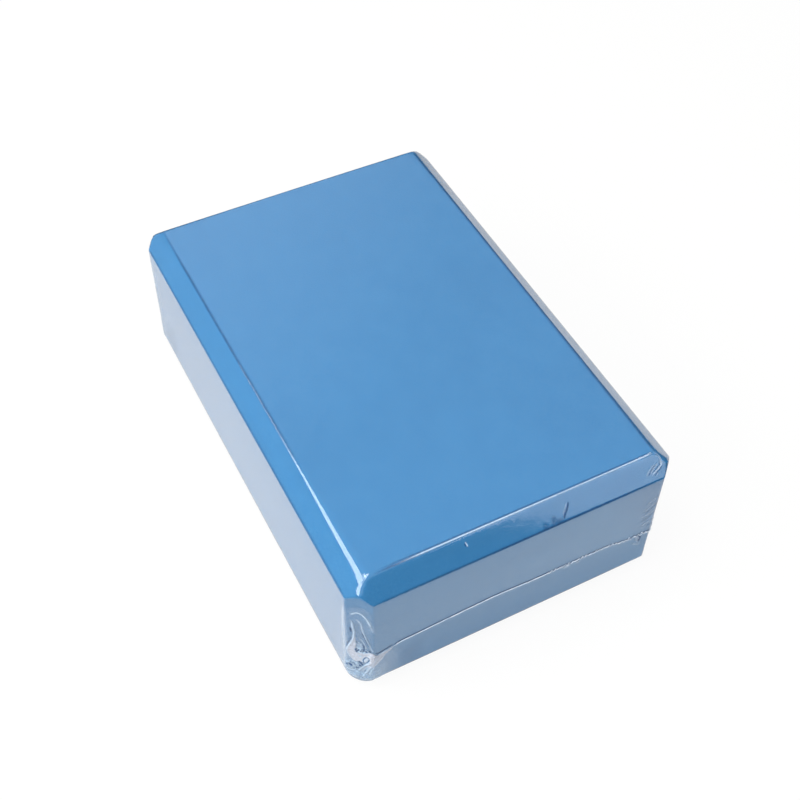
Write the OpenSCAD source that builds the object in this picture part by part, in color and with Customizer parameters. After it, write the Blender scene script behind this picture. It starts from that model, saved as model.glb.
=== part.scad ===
// Foam yoga block in a shrunk wrap of clear film.
// One cut block of closed-cell foam with a bevel along every edge, and one
// piece of film shrunk over it. The film is folded along one long side and
// heat-sealed along the other three sides, so a fine seam runs round those
// three, and the spare film is gathered in pleats on the two upright corners
// where the seam meets the fold.
// Origin: middle of the underside. X runs along the length, Y across the
// width, Z up. The folded, seamless side of the film faces -Y.

/* [Foam] */
// Length of the foam, along X
foam_length = 230; // [150:1:320]
// Width of the foam, along Y
foam_width = 150; // [100:1:220]
// Thickness of the foam, along Z
foam_thickness = 75; // [65:1:110]
// Width of each bevel, measured along the face it cuts
bevel = 8.3; // [6:0.1:12]
// Radius that eases the two edges of a bevel
bevel_ease = 2; // [0.5:0.1:4]

/* [Film] */
// Thickness of the film
film_wall = 0.05; // [0.03:0.01:0.2]
// Gap that stays between the foam and the shrunk film
film_gap = 0.02; // [0.01:0.01:0.1]

/* [Seam] */
// Height of the seam's centre line above the underside
seam_height = 32; // [26:0.5:38]
// Height of the flattened seal, up and down the wall
seal_height = 1.4; // [0.8:0.1:3]
// How far the flattened seal stands off the film
seal_stand = 0.25; // [0.1:0.05:0.6]
// Height of the melted bead along the seal's lower edge
bead_height = 0.5; // [0.3:0.1:0.8]
// How far the bead stands off the film
bead_stand = 0.6; // [0.3:0.1:1]

/* [Corner gather] */
// Pleats above the seam on a gathered corner
upper_pleats = 3; // [2:1:5]
// Plain film left between the upper pleats and the top bevel
upper_plain = 11; // [5:1:12]
// Pleats below the seam on a gathered corner
lower_pleats = 5; // [3:1:7]
// Plain film left between the lower pleats and the bottom bevel
lower_plain = 6; // [3:1:8]
// Width of a pleat at its widest
pleat_width = 2; // [1:0.1:3]
// Height of a pleat's crest over the film
pleat_crest = 0.8; // [0.3:0.1:1.2]
// Diameter of the pinched tab at the seam's end
tab_diameter = 6; // [3:0.5:7]
// Thickness of the pinched tab
tab_stand = 0.5; // [0.2:0.1:0.8]

/* [Hidden] */
$fn = 48;

// Straight steps in the rounding of one bevel edge
ease_steps = 4;
// Cutting margin, so that no two cut faces coincide
margin = 1;
// Skin added outside the foam for the film's inner and outer faces
film_inside = film_gap;
film_outside = film_gap + film_wall;
// Middle of the foam's height, with the film's bottom layer at Z = 0
foam_middle = film_outside + foam_thickness / 2;
// Width of the flat strip that the bevel leaves on an upright corner
corner_strip = bevel * sqrt(2);
// Distance of that strip from the block's corner, along either face
corner_middle = bevel / 2;
// Share of a pleat's length at which its crest stands
crest_place = 0.35;
// Share of the corner strip over which the pleats' roots and tips spread
root_spread = 0.25;
tip_spread = 0.75;
// Distance of the pleats' roots from the seam's centre line
root_gap = seal_height / 2 + 1;
// Height of the upper pleats' tips above the seam's centre line
upper_reach = film_outside + foam_thickness - bevel - upper_plain - seam_height;
// Depth of the lower pleats' tips below the seam's centre line
lower_reach = seam_height - film_outside - bevel - lower_plain;

// A bevel grows by this share of a skin's thickness when the skin is added
function skin_share() = 2 - sqrt(2);

// Outline of a rectangle with cut corners, whose eight edges are eased by
// short arcs: each arc turns 45 degrees about its own centre
function eased_outline(size, cut, ease) =
    let (
        side = size / 2 - [ease, ease],
        inset = cut - skin_share() * ease,
        centres = [
            [side.x, side.y - inset], [side.x - inset, side.y],
            [inset - side.x, side.y], [-side.x, side.y - inset],
            [-side.x, inset - side.y], [inset - side.x, -side.y],
            [side.x - inset, -side.y], [side.x, inset - side.y]
        ]
    )
    [for (i = [0:7], step = [0:ease_steps])
        let (turn = 45 * (i + step / ease_steps))
        centres[i] + ease * [cos(turn), sin(turn)]];

// Plan outline of the block under a skin of the given thickness
module plan(skin) {
    polygon(eased_outline(
        [foam_length, foam_width] + 2 * [skin, skin],
        bevel + skin_share() * skin,
        bevel_ease + skin
    ));
}

// The bevelled block under a skin of the given thickness: the outline cut
// along each of the three directions, and what the three cuts share
module bevelled_block(skin) {
    size = [foam_length, foam_width, foam_thickness] + 2 * [skin, skin, skin];
    cut = bevel + skin_share() * skin;
    ease = bevel_ease + skin;
    translate([0, 0, foam_middle])
        intersection() {
            linear_extrude(size.z + margin, center = true)
                polygon(eased_outline([size.x, size.y], cut, ease));
            rotate([90, 0, 0])
                linear_extrude(size.y + margin, center = true)
                    polygon(eased_outline([size.x, size.z], cut, ease));
            rotate([90, 0, 90])
                linear_extrude(size.x + margin, center = true)
                    polygon(eased_outline([size.y, size.z], cut, ease));
        }
}

// A band that runs round the plan outline and stands off the film, cut off
// at the folded side: it reaches only to the two gathered corners
module seam_band(height, stand, below) {
    low = seam_height - below;
    translate([0, 0, low])
        linear_extrude(height)
            difference() {
                plan(film_outside + stand);
                translate([-foam_length, -foam_width / 2 + corner_middle - foam_width])
                    square([2 * foam_length, foam_width]);
            }
}

// The heat seal: the flattened double layer and the melted bead under it
module seam() {
    seam_band(seal_height, seal_stand, seal_height / 2);
    seam_band(bead_height, bead_stand, seal_height / 2 + bead_height / 2);
}

// One tapered pleat on the plane Z = 0, from root to tip, with a kite-shaped
// foot and a crest nearer the root
module pleat(root, tip) {
    run = tip - root;
    length = norm(run);
    foot = -film_wall;
    wide = crest_place * length;
    translate([root.x, root.y, 0])
        rotate(atan2(run.y, run.x))
            polyhedron(
                points = [
                    [0, 0, foot], [wide, -pleat_width / 2, foot],
                    [length, 0, foot], [wide, pleat_width / 2, foot],
                    [wide, 0, pleat_crest]
                ],
                faces = [[0, 1, 2, 3], [1, 0, 4], [2, 1, 4], [3, 2, 4], [0, 3, 4]]
            );
}

// A fan of pleats up the corner strip, or down it where way is -1, whose
// tips lie at the given distance from the seam
module pleat_fan(count, reach, way) {
    for (i = [0:count - 1]) {
        place = i / (count - 1) - 0.5;
        pleat(
            [corner_strip * place * root_spread, way * root_gap],
            [corner_strip * place * tip_spread, way * reach]
        );
    }
}

// Gathered spare film on one upright corner, drawn on the strip's own plane:
// X across the strip, Y up it, Z out of it
module gather() {
    pleat_fan(upper_pleats, upper_reach, 1);
    pleat_fan(lower_pleats, lower_reach, -1);
    translate([0, 0, -film_wall])
        cylinder(h = film_wall + tab_stand, d = tab_diameter);
}

// Places its children on the upright corner strip at the folded side and
// the given end: 1 for the +X end, -1 for the -X end
module on_corner(end) {
    reach = film_outside * skin_share() / 2;
    translate([
        end * (foam_length / 2 + film_outside - corner_middle - reach),
        -(foam_width / 2 + film_outside - corner_middle - reach),
        seam_height
    ])
        rotate([90, 0, end * 45])
            children();
}

module foam_block() {
    color([0.18, 0.47, 0.72])
        bevelled_block(0);
}

module shrink_film() {
    color([0.86, 0.93, 0.98], 0.35)
        difference() {
            union() {
                bevelled_block(film_outside);
                seam();
                for (end = [-1, 1])
                    on_corner(end)
                        gather();
            }
            bevelled_block(film_inside);
        }
}

foam_block();
shrink_film();
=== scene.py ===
"""Foam yoga block in a shrunk wrap of clear film, dressed for a studio picture.

The block is one bevelled piece of closed-cell foam. The wrap is one piece of
clear film: it is folded along one long side, heat-sealed along the other three,
and its spare corners are gathered where the seam meets the fold.
Lengths are in millimetres until a mesh is written, which is in metres.
"""

import logging
import math
from dataclasses import dataclass, field
from enum import Enum
from typing import Any, Dict, List, Optional, Sequence, Tuple, Union

import bpy
import numpy as np
from mathutils import Matrix, Quaternion, Vector


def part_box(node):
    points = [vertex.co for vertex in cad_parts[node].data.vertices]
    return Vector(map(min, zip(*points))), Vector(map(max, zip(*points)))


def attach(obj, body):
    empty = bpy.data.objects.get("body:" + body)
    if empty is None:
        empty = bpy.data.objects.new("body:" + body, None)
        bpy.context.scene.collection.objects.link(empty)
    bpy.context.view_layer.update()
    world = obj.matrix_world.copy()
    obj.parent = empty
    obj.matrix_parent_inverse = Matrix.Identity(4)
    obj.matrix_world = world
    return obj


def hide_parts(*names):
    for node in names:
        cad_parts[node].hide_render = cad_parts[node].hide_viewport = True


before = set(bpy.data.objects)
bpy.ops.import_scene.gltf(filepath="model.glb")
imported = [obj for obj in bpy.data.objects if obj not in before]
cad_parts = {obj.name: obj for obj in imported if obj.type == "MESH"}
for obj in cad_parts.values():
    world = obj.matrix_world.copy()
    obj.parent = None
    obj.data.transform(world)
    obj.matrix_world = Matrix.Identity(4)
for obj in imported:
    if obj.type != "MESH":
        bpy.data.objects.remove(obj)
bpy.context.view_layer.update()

LOG = logging.getLogger("foam_block")
MM = 0.001
# A run that no mark reaches
FAR_AWAY = -1e4
# How level a face may lie and still count as part of the walls or their bevels
LEVEL_FACE = 0.9
BLACK = (0.0, 0.0, 0.0)
WHITE = (1.0, 1.0, 1.0)

Array = np.ndarray
Colour = Tuple[float, float, float, float]
Point2 = Tuple[float, float]
Point3 = Tuple[float, float, float]
Line = Tuple[Point2, ...]


# ---------------------------------------------------------------- shader maths


class Graph:
    """A material's or world's node tree, with one way to add any node."""

    def __init__(self, tree: bpy.types.NodeTree) -> None:
        """Empties the tree and keeps it."""
        self.tree = tree
        tree.nodes.clear()

    def node(
        self,
        kind: str,
        settings: Optional[Dict[str, Any]] = None,
        inputs: Optional[Dict[Union[str, int], Any]] = None,
    ) -> bpy.types.Node:
        """Adds a node, sets it up, then fills or links its sockets.

        Args:
            kind: the node's type name.
            settings: the node's own properties.
            inputs: socket name or index to a value, a socket or a Field.

        Returns:
            The new node.
        """
        new = self.tree.nodes.new(kind)
        for name, value in (settings or {}).items():
            setattr(new, name, value)
        for key, value in (inputs or {}).items():
            self._fill(new.inputs[key], value)
        return new

    def _fill(self, socket: bpy.types.NodeSocket, value: Any) -> None:
        """Links a socket or Field to an input, or sets the input's own value."""
        if isinstance(value, Field):
            value = value.socket
        if isinstance(value, bpy.types.NodeSocket):
            self.tree.links.new(value, socket)
        else:
            socket.default_value = value

    def field(self, node: bpy.types.Node, output: Union[str, int] = 0) -> "Field":
        """Wraps one output of a node, for use in arithmetic."""
        return Field(self, node.outputs[output])

    def attribute(self, name: str) -> "Field":
        """Reads a value that the piece's mesh carries."""
        return self.field(self.node("ShaderNodeAttribute", {"attribute_name": name}), "Fac")

    def colour_mix(self, factor: Any, first: Any, second: Any) -> bpy.types.NodeSocket:
        """Mixes two colours by a factor and returns the colour socket."""
        mixer = self.node(
            "ShaderNodeMix",
            {"data_type": "RGBA"},
            {"Factor": factor, 6: first, 7: second},
        )
        return mixer.outputs[2]

    def blend(self, factor: Any, first: Any, second: Any) -> bpy.types.NodeSocket:
        """Mixes two shaders by a factor and returns the shader socket."""
        return self.node("ShaderNodeMixShader", None, {0: factor, 1: first, 2: second}).outputs[0]

    def noise(self, place: Any, scale: float, detail: float, roughness: float) -> "Field":
        """Soft random clouds between 0 and 1."""
        inputs = {"Vector": place, "Scale": scale, "Detail": detail, "Roughness": roughness}
        return self.field(self.node("ShaderNodeTexNoise", None, inputs))

    def glow(self, kind: str, colour: Sequence[float]) -> bpy.types.NodeSocket:
        """A plain light of strength 1, from an emission or background node."""
        return self.node(kind, None, {"Color": (*colour, 1.0), "Strength": 1.0}).outputs[0]

    def object_place(self) -> bpy.types.NodeSocket:
        """The piece's own coordinates."""
        return self.node("ShaderNodeTexCoord").outputs["Object"]

    def show(self, surface: bpy.types.NodeSocket, kind: str = "ShaderNodeOutputMaterial") -> None:
        """Ends the tree in that surface."""
        self.node(kind, None, {"Surface": surface})


class Field:
    """A value socket that takes part in sums, each of which adds a Math node."""

    def __init__(self, graph: Graph, socket: bpy.types.NodeSocket) -> None:
        """Keeps the socket and the graph it belongs to."""
        self.graph = graph
        self.socket = socket

    def _math(self, operation: str, first: Any, second: Any = 0.0, clamp: bool = False) -> "Field":
        """Adds one Math node and wraps its result."""
        made = self.graph.node(
            "ShaderNodeMath",
            {"operation": operation, "use_clamp": clamp},
            {0: first, 1: second},
        )
        return self.graph.field(made)

    def __add__(self, other: Any) -> "Field":
        """self + other."""
        return self._math("ADD", self, other)

    def __radd__(self, other: Any) -> "Field":
        """other + self."""
        return self._math("ADD", other, self)

    def __sub__(self, other: Any) -> "Field":
        """self - other."""
        return self._math("SUBTRACT", self, other)

    def __rsub__(self, other: Any) -> "Field":
        """other - self."""
        return self._math("SUBTRACT", other, self)

    def __mul__(self, other: Any) -> "Field":
        """self * other."""
        return self._math("MULTIPLY", self, other)

    def __rmul__(self, other: Any) -> "Field":
        """other * self."""
        return self._math("MULTIPLY", other, self)

    def __pow__(self, power: Any) -> "Field":
        """self ** power."""
        return self._math("POWER", self, power)

    def clamped(self) -> "Field":
        """The value held between 0 and 1."""
        return self._math("ADD", self, 0.0, clamp=True)

    def ramp(self, low: float, high: float) -> "Field":
        """0 below low, 1 above high, and straight in between."""
        return ((self - low) * (1 / (high - low))).clamped()

    def larger(self, other: Any) -> "Field":
        """The larger of the two values."""
        return self._math("MAXIMUM", self, other)


def new_material(name: str) -> Tuple[bpy.types.Material, Graph]:
    """An empty node material, and its graph."""
    made = bpy.data.materials.new(name)
    made.use_nodes = True
    return made, Graph(made.node_tree)


# ----------------------------------------------------------------- small sums


def window(values: Array, low: float, high: float, soft: float) -> Array:
    """1 between low and high, fading to 0 over the soft distance outside."""
    rise = np.clip((values - low) / soft + 1, 0, 1)
    fall = np.clip((high - values) / soft + 1, 0, 1)
    both = rise * fall
    return both * both * (3 - 2 * both)


def waves(places: Array, lengths: Sequence[float], seed: int) -> Array:
    """A sum of sine waves with seeded phases, between -1 and 1."""
    phases = np.random.default_rng(seed).uniform(0, 2 * math.pi, len(lengths))
    total = sum(np.sin(2 * math.pi * places / length + phase) for length, phase in zip(lengths, phases))
    return total / len(lengths)


@dataclass(frozen=True)
class Ripple:
    """Seeded unevenness along a line.

    Attributes:
        size: how far it goes to either side.
        lengths: its wavelengths.
        seed: draws their phases.
    """

    size: float
    lengths: Tuple[float, ...]
    seed: int

    def at(self, places: Array) -> Array:
        """Its value at each place."""
        return self.size * waves(places, self.lengths, self.seed)


def curve_through(knots: Line, steps: int = 6) -> Array:
    """A smooth line through given knots, as short straight pieces."""
    ends = np.array([knots[0], *knots, knots[-1]], float)
    t = np.linspace(0, 1, steps, endpoint=False)[:, None]
    line: List[Array] = []
    for a, b, c, d in zip(ends, ends[1:], ends[2:], ends[3:]):
        bend = 2 * b + (c - a) * t + (2 * a - 5 * b + 4 * c - d) * t**2 + (3 * b - a - 3 * c + d) * t**3
        line.append(bend / 2)
    return np.vstack([*line, ends[-1:]])


def along_line(places: Array, line: Array) -> Tuple[Array, Array]:
    """How places lie along a line.

    Args:
        places: (run, height) rows.
        line: the line's points, in order.

    Returns:
        Each place's distance from the line, and the share of the line's
        length at which it is nearest.
    """
    lengths = np.linalg.norm(np.diff(line, axis=0), axis=1)
    before = np.concatenate([[0], np.cumsum(lengths)])
    best = np.full(len(places), np.inf)
    share = np.zeros(len(places))
    for start, end, length, offset in zip(line, line[1:], lengths, before):
        if length == 0:
            continue
        along = np.clip((places - start) @ (end - start) / length**2, 0, 1)
        gap = np.linalg.norm(places - start - along[:, None] * (end - start), axis=1)
        nearer = gap < best
        best = np.where(nearer, gap, best)
        share = np.where(nearer, (offset + along * length) / before[-1], share)
    return best, share


def close_to(places: Array, line: Array, margin: float) -> Array:
    """Whether each place lies in the line's bounds, widened by the margin."""
    low, high = line.min(axis=0) - margin, line.max(axis=0) + margin
    return np.all((places > low) & (places < high), axis=1)


def within(places: Array, outline: Array) -> Array:
    """Whether each place is inside the closed outline."""
    inside = np.zeros(len(places), bool)
    for (x0, y0), (x1, y1) in zip(outline, np.roll(outline, -1, axis=0)):
        if y0 == y1:
            continue
        spans = (places[:, 1] < y0) != (places[:, 1] < y1)
        inside ^= spans & (places[:, 0] < x0 + (places[:, 1] - y0) * (x1 - x0) / (y1 - y0))
    return inside


def direction_of(azimuth: float, elevation: float) -> Vector:
    """The unit vector towards an azimuth and elevation, given in degrees."""
    flat, up = math.radians(azimuth), math.radians(elevation)
    return Vector((math.cos(up) * math.cos(flat), math.cos(up) * math.sin(flat), math.sin(up)))


def spread(start: float, end: float, step: float) -> Array:
    """Evenly spaced places from start to end, about a step apart."""
    count = max(1, round(abs(end - start) / step))
    return np.linspace(start, end, count + 1)


def both_ways(places: Sequence[float]) -> Array:
    """The places and their mirror images."""
    places = np.asarray(places, float)
    return np.unique(np.concatenate([-places, places]))


# ------------------------------------------------------------------- the form


class Axis(Enum):
    """The three directions of the row frame."""

    X = 0
    Y = 1
    Z = 2

    @property
    def unit(self) -> Point3:
        """The direction as a unit vector."""
        return tuple(1.0 if i == self.value else 0.0 for i in range(3))


@dataclass(frozen=True)
class Easing:
    """Extra softness of the edges in a band of each upright corner.

    Attributes:
        low: bottom of the band, from the block's middle.
        high: top of the band.
        fade: height over which it dies away outside the band.
        extra: the softness it adds.
        reach: distance from the corner over which it dies away.
        corner: signs of X and Y of the one corner it belongs to, if not all.
    """

    low: float
    high: float
    fade: float
    extra: float
    reach: float
    corner: Optional[Tuple[int, int]] = None


@dataclass(frozen=True)
class Facet:
    """A flat that the stretched film presses on to an edge.

    Attributes:
        start: a place on the edge, in the block's frame, where it begins.
        facing: its outward direction, of any length.
    """

    start: Point3
    facing: Point3

    def over(self, local: Array) -> Array:
        """How far places lie outside it."""
        return (local - np.array(self.start)) @ self.unit

    @property
    def unit(self) -> Array:
        """Its outward direction, of length 1."""
        facing = np.array(self.facing)
        return facing / np.linalg.norm(facing)


@dataclass(frozen=True)
class BlockForm:
    """The bevelled block: where its middle is, its half sizes and its edges.

    Attributes:
        centre: the middle of the foam.
        half: half the foam's length, width and thickness.
        bevel: width of each bevel, measured along the face it cuts.
        ease: softness of every edge.
        easings: what the corners add to it.
        facets: flats that cut across its edges.
    """

    centre: Array
    half: Array
    bevel: float = 8.3
    ease: float = 0.13
    easings: Tuple[Easing, ...] = (
        Easing(low=35.5, high=40.0, fade=4.5, extra=0.62, reach=26.0),
        Easing(low=35.5, high=40.0, fade=4.5, extra=-0.25, reach=26.0, corner=(1, -1)),
        Easing(low=28.4, high=30.2, fade=2.0, extra=0.05, reach=1e6),
        Easing(low=-26.0, high=26.0, fade=4.0, extra=0.16, reach=12.0),
        Easing(low=-40.0, high=-28.5, fade=3.0, extra=0.06, reach=1e6),
        Easing(low=-40.0, high=-29.0, fade=5.0, extra=0.55, reach=7.0, corner=(1, -1)),
    )
    facets: Tuple[Facet, ...] = (
        Facet(start=(48.0, -66.7, 37.5), facing=(0.0078, -0.5, 0.866)),
    )

    @classmethod
    def from_node(cls, node: str) -> "BlockForm":
        """Takes the block's place and size from its CAD node."""
        low, high = (np.array(corner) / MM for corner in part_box(node))
        return cls(centre=(low + high) / 2, half=(high - low) / 2)

    def planes(self) -> Tuple[Array, Array]:
        """The faces and bevels of one octant; the others mirror it.

        Returns:
            Unit normals, one a row, and their distances from the centre.
        """
        root = math.sqrt(0.5)
        normals = np.array([
            [1, 0, 0], [0, 1, 0], [0, 0, 1],
            [root, root, 0], [root, 0, root], [0, root, root],
        ])
        cut = np.array([0, 0, 0, 1, 1, 1]) * self.bevel * root
        return normals, normals @ self.half - cut

    def softness(self, points: Array) -> Array:
        """How softly the edges turn at each point, greater at the corners."""
        inset = self.half[:2] - self.bevel / 2
        local = points - self.centre
        distance = np.linalg.norm(np.minimum(np.abs(local[:, :2]) - inset, 0), axis=1)
        soft = np.full(len(points), self.ease)
        for part in self.easings:
            level = window(local[:, 2], part.low, part.high, part.fade)
            if part.corner:
                level = level * np.all(local[:, :2] * part.corner > 0, axis=1)
            soft = soft + part.extra * level * np.exp(-distance / part.reach)
        return soft

    def settle(self, points: Array, skin: float, steps: int = 5) -> Tuple[Array, Array]:
        """Lays points on the soft-edged block under a skin of that thickness.

        Args:
            points: places near the surface.
            skin: distance of the wanted surface outside the foam.
            steps: how often the places are corrected.

        Returns:
            The places on the surface, and the surface's outward normals.
        """
        normals, reach = self.planes()
        soft = self.softness(points)[:, None]
        local = points - self.centre
        outward = np.zeros_like(local)
        for _ in range(steps):
            flats = np.column_stack([facet.over(local) - skin for facet in self.facets])
            over = np.hstack([np.abs(local) @ normals.T - reach - skin, flats]) / soft
            most = over.max(axis=1, keepdims=True)
            weight = np.exp(over - most)
            total = weight.sum(axis=1, keepdims=True)
            above = soft * (most + np.log(total))
            share = weight / total
            slope = share[:, : len(normals)] @ normals * np.sign(local)
            slope = slope + share[:, len(normals) :] @ np.array([facet.unit for facet in self.facets])
            size = np.linalg.norm(slope, axis=1, keepdims=True)
            local = local - above * slope / size**2
            outward = slope / size
        return local + self.centre, outward

    @property
    def strip(self) -> float:
        """Half the width of an upright corner strip."""
        return self.bevel * math.sqrt(0.5)

    def outline(self) -> Tuple[Array, Array, Array, Array]:
        """The plan outline, anticlockwise from the strip at the +X, -Y corner.

        Returns:
            The start and the end of each of its eight sides, their lengths,
            and the run at which each starts. The run is 0 in the middle of
            that first strip.
        """
        x, y = self.half[:2]
        cut = self.bevel
        starts = np.array([
            [x - cut, -y], [x, cut - y], [x, y - cut], [x - cut, y],
            [cut - x, y], [-x, y - cut], [-x, cut - y], [cut - x, -y],
        ])
        ends = np.roll(starts, -1, axis=0)
        lengths = np.linalg.norm(ends - starts, axis=1)
        begins = np.concatenate([[0], np.cumsum(lengths)[:-1]]) - self.strip
        return starts, ends, lengths, begins

    @property
    def around(self) -> float:
        """Length of the plan outline."""
        return float(self.outline()[2].sum())

    @property
    def far_corner(self) -> float:
        """Run of the middle of the -X, -Y corner strip."""
        return float(self.outline()[3][6]) + self.strip

    def run_of(self, points: Array) -> Array:
        """Run of each point along the plan outline, from 0 to its length."""
        plan = points[:, :2] - self.centre[:2]
        best = np.full(len(plan), np.inf)
        run = np.zeros(len(plan))
        for start, end, length, begin in zip(*self.outline()):
            along = np.clip((plan - start) @ (end - start) / length, 0, length)
            nearest = start + along[:, None] * (end - start) / length
            gap = np.linalg.norm(plan - nearest, axis=1)
            closer = gap < best - 1e-6
            best = np.where(closer, gap, best)
            run = np.where(closer, begin + along, run)
        return run % self.around

    def front_places(self, points: Array) -> Array:
        """(run, height) rows as if the +X wall ran straight on past its corners.

        Places that aren't on the +X side are put far away.
        """
        local = points - self.centre
        run = local[:, 1] + self.half[1] - self.bevel + self.strip
        ahead = local[:, 0] > self.half[0] - self.bevel - 1.0
        return np.column_stack([np.where(ahead, run, FAR_AWAY), points[:, 2]])

    def place_on(self, run: Array, height: Array, off: Array) -> Tuple[Array, Array]:
        """Places on the walls, given on the unrolled wall.

        Args:
            run: distances along the plan outline.
            height: heights above the ground.
            off: distances off the foam.

        Returns:
            The places, and the wall's outward normal at each.
        """
        starts, ends, lengths, begins = self.outline()
        side = np.searchsorted(begins, run, side="right") - 1
        step = (ends - starts) / lengths[:, None]
        plan = starts[side] + step[side] * (run - begins[side])[:, None]
        normal = np.stack([step[side, 1], -step[side, 0], np.zeros(len(run))], axis=1)
        places = np.column_stack([plan + self.centre[:2], height])
        return places + normal * off[:, None], normal


# --------------------------------------------------------------- mesh helpers


# Vertices closer than this, in metres, become one
WELD = 1e-7
# The octants of the block, as signs of X, Y and Z
SIGNS = np.array([[a, b, c] for a in (-1, 1) for b in (-1, 1) for c in (-1, 1)])


def deselect_all() -> None:
    """Leaves no object selected."""
    if bpy.context.object and bpy.context.object.mode != "OBJECT":
        bpy.ops.object.mode_set(mode="OBJECT")
    bpy.ops.object.select_all(action="DESELECT")


def activate(piece: bpy.types.Object) -> None:
    """Selects one object alone and makes it the active one."""
    deselect_all()
    piece.select_set(True)
    bpy.context.view_layer.objects.active = piece


def read_points(piece: bpy.types.Object) -> Array:
    """The piece's vertices in millimetres."""
    flat = np.empty(len(piece.data.vertices) * 3)
    piece.data.vertices.foreach_get("co", flat)
    return flat.reshape(-1, 3) / MM


def write_points(piece: bpy.types.Object, points: Array) -> None:
    """Moves the piece's vertices to places given in millimetres."""
    piece.data.vertices.foreach_set("co", (points * MM).ravel())
    piece.data.update()


def write_values(piece: bpy.types.Object, name: str, values: Array) -> None:
    """Stores one number a vertex, for a material to read."""
    store = piece.data.attributes.new(name, "FLOAT", "POINT")
    store.data.foreach_set("value", values.astype(np.float32))


def face_centres(piece: bpy.types.Object) -> Tuple[Array, Array]:
    """The middles of the piece's faces in millimetres, and their normals."""
    count = len(piece.data.polygons)
    centres, normals = np.empty(count * 3), np.empty(count * 3)
    piece.data.polygons.foreach_get("center", centres)
    piece.data.polygons.foreach_get("normal", normals)
    return centres.reshape(-1, 3) / MM, normals.reshape(-1, 3)


def smooth(piece: bpy.types.Object, angle: float = 60.0) -> None:
    """Shades the piece smooth except across edges sharper than the angle."""
    activate(piece)
    bpy.ops.object.shade_smooth_by_angle(angle=math.radians(angle))


def bisect(place: Array, normal: Sequence[float], trim: bool = False) -> None:
    """Cuts what shows of the mesh in edit mode, and may trim what lies outside."""
    bpy.ops.mesh.select_all(action="SELECT")
    bpy.ops.mesh.bisect(
        plane_co=tuple(place * MM),
        plane_no=tuple(normal),
        use_fill=trim,
        clear_outer=trim,
        threshold=WELD,
    )


@dataclass(frozen=True)
class Region:
    """A part of the block's surface, and how finely it is divided.

    Attributes:
        run: span along the plan outline, which may start below 0.
        height: span of heights above the ground.
        pitch: spacing of the cuts along the wall.
        rise: spacing of the cuts up the wall.
    """

    run: Point2
    height: Point2
    pitch: float
    rise: float

    def holds(self, form: BlockForm, centres: Array, normals: Array) -> Array:
        """Whether each face lies in the region; flat tops and bottoms don't."""
        run = form.run_of(centres)
        run = np.where(run > self.run[1], run - form.around, run)
        inside = (run > self.run[0]) & (run < self.run[1])
        level = (centres[:, 2] > self.height[0]) & (centres[:, 2] < self.height[1])
        return inside & level & (np.abs(normals[:, 2]) < LEVEL_FACE)

    def touches(self, form: BlockForm, piece: bpy.types.Object) -> Array:
        """Whether any part of each face may lie in the region."""
        points = read_points(piece)
        run = form.run_of(points)
        run = np.where(run > self.run[1] + form.around / 4, run - form.around, run)
        mesh = piece.data
        first = np.empty(len(mesh.polygons), np.int32)
        corner = np.empty(len(mesh.loops), np.int32)
        mesh.polygons.foreach_get("loop_start", first)
        mesh.loops.foreach_get("vertex_index", corner)
        close = np.ones(len(first), bool)
        for values, (low, high) in ((run[corner], self.run), (points[corner, 2], self.height)):
            close &= np.maximum.reduceat(values, first) > low
            close &= np.minimum.reduceat(values, first) < high
        return close & (np.abs(face_centres(piece)[1][:, 2]) < LEVEL_FACE)

    def borders(self, form: BlockForm) -> List[Tuple[Array, Point3]]:
        """The places and directions of the cuts round it."""
        return self._level(self.height) + self._upright(form, np.array(self.run))

    def cuts(self, form: BlockForm) -> List[Tuple[Array, Point3]]:
        """The places and directions of the cuts within it."""
        levels = self._level(spread(*self.height, self.rise))
        return levels + self._upright(form, spread(*self.run, self.pitch))

    @staticmethod
    def _level(heights: Sequence[float]) -> List[Tuple[Array, Point3]]:
        """Level cuts at those heights."""
        return [(np.array([0, 0, height]), Axis.Z.unit) for height in heights]

    def _upright(self, form: BlockForm, runs: Array) -> List[Tuple[Array, Point3]]:
        """Cuts square to the wall at those runs."""
        places, normals = form.place_on(self._unwrapped(form, runs), 0 * runs, 0 * runs)
        return [(place, (-normal[1], normal[0], 0.0)) for place, normal in zip(places, normals)]

    @staticmethod
    def _unwrapped(form: BlockForm, runs: Array) -> Array:
        """Runs moved into the span that the outline's sides are listed in."""
        first = -form.strip
        return (runs - first) % form.around + first


def bevelled_block(name: str, form: BlockForm, skin: float) -> bpy.types.Object:
    """A box with its twelve edges cut off, with its place in its mesh."""
    deselect_all()
    size = 2 * (form.half + skin)
    bpy.ops.mesh.primitive_cube_add(size=1.0, location=tuple(form.centre * MM))
    block = bpy.context.object
    block.name = name
    block.scale = tuple(size * MM)
    bpy.ops.object.transform_apply(location=True, rotation=True, scale=True)
    bpy.ops.object.mode_set(mode="EDIT")
    normals, reach = form.planes()
    for normal, distance in zip(normals[3:], reach[3:]):
        for signs in sorted({tuple(row) for row in np.sign(normal) * SIGNS}):
            facing = np.abs(normal) * signs
            bisect(form.centre + facing * (distance + skin), facing, trim=True)
    bpy.ops.object.mode_set(mode="OBJECT")
    return block


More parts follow.
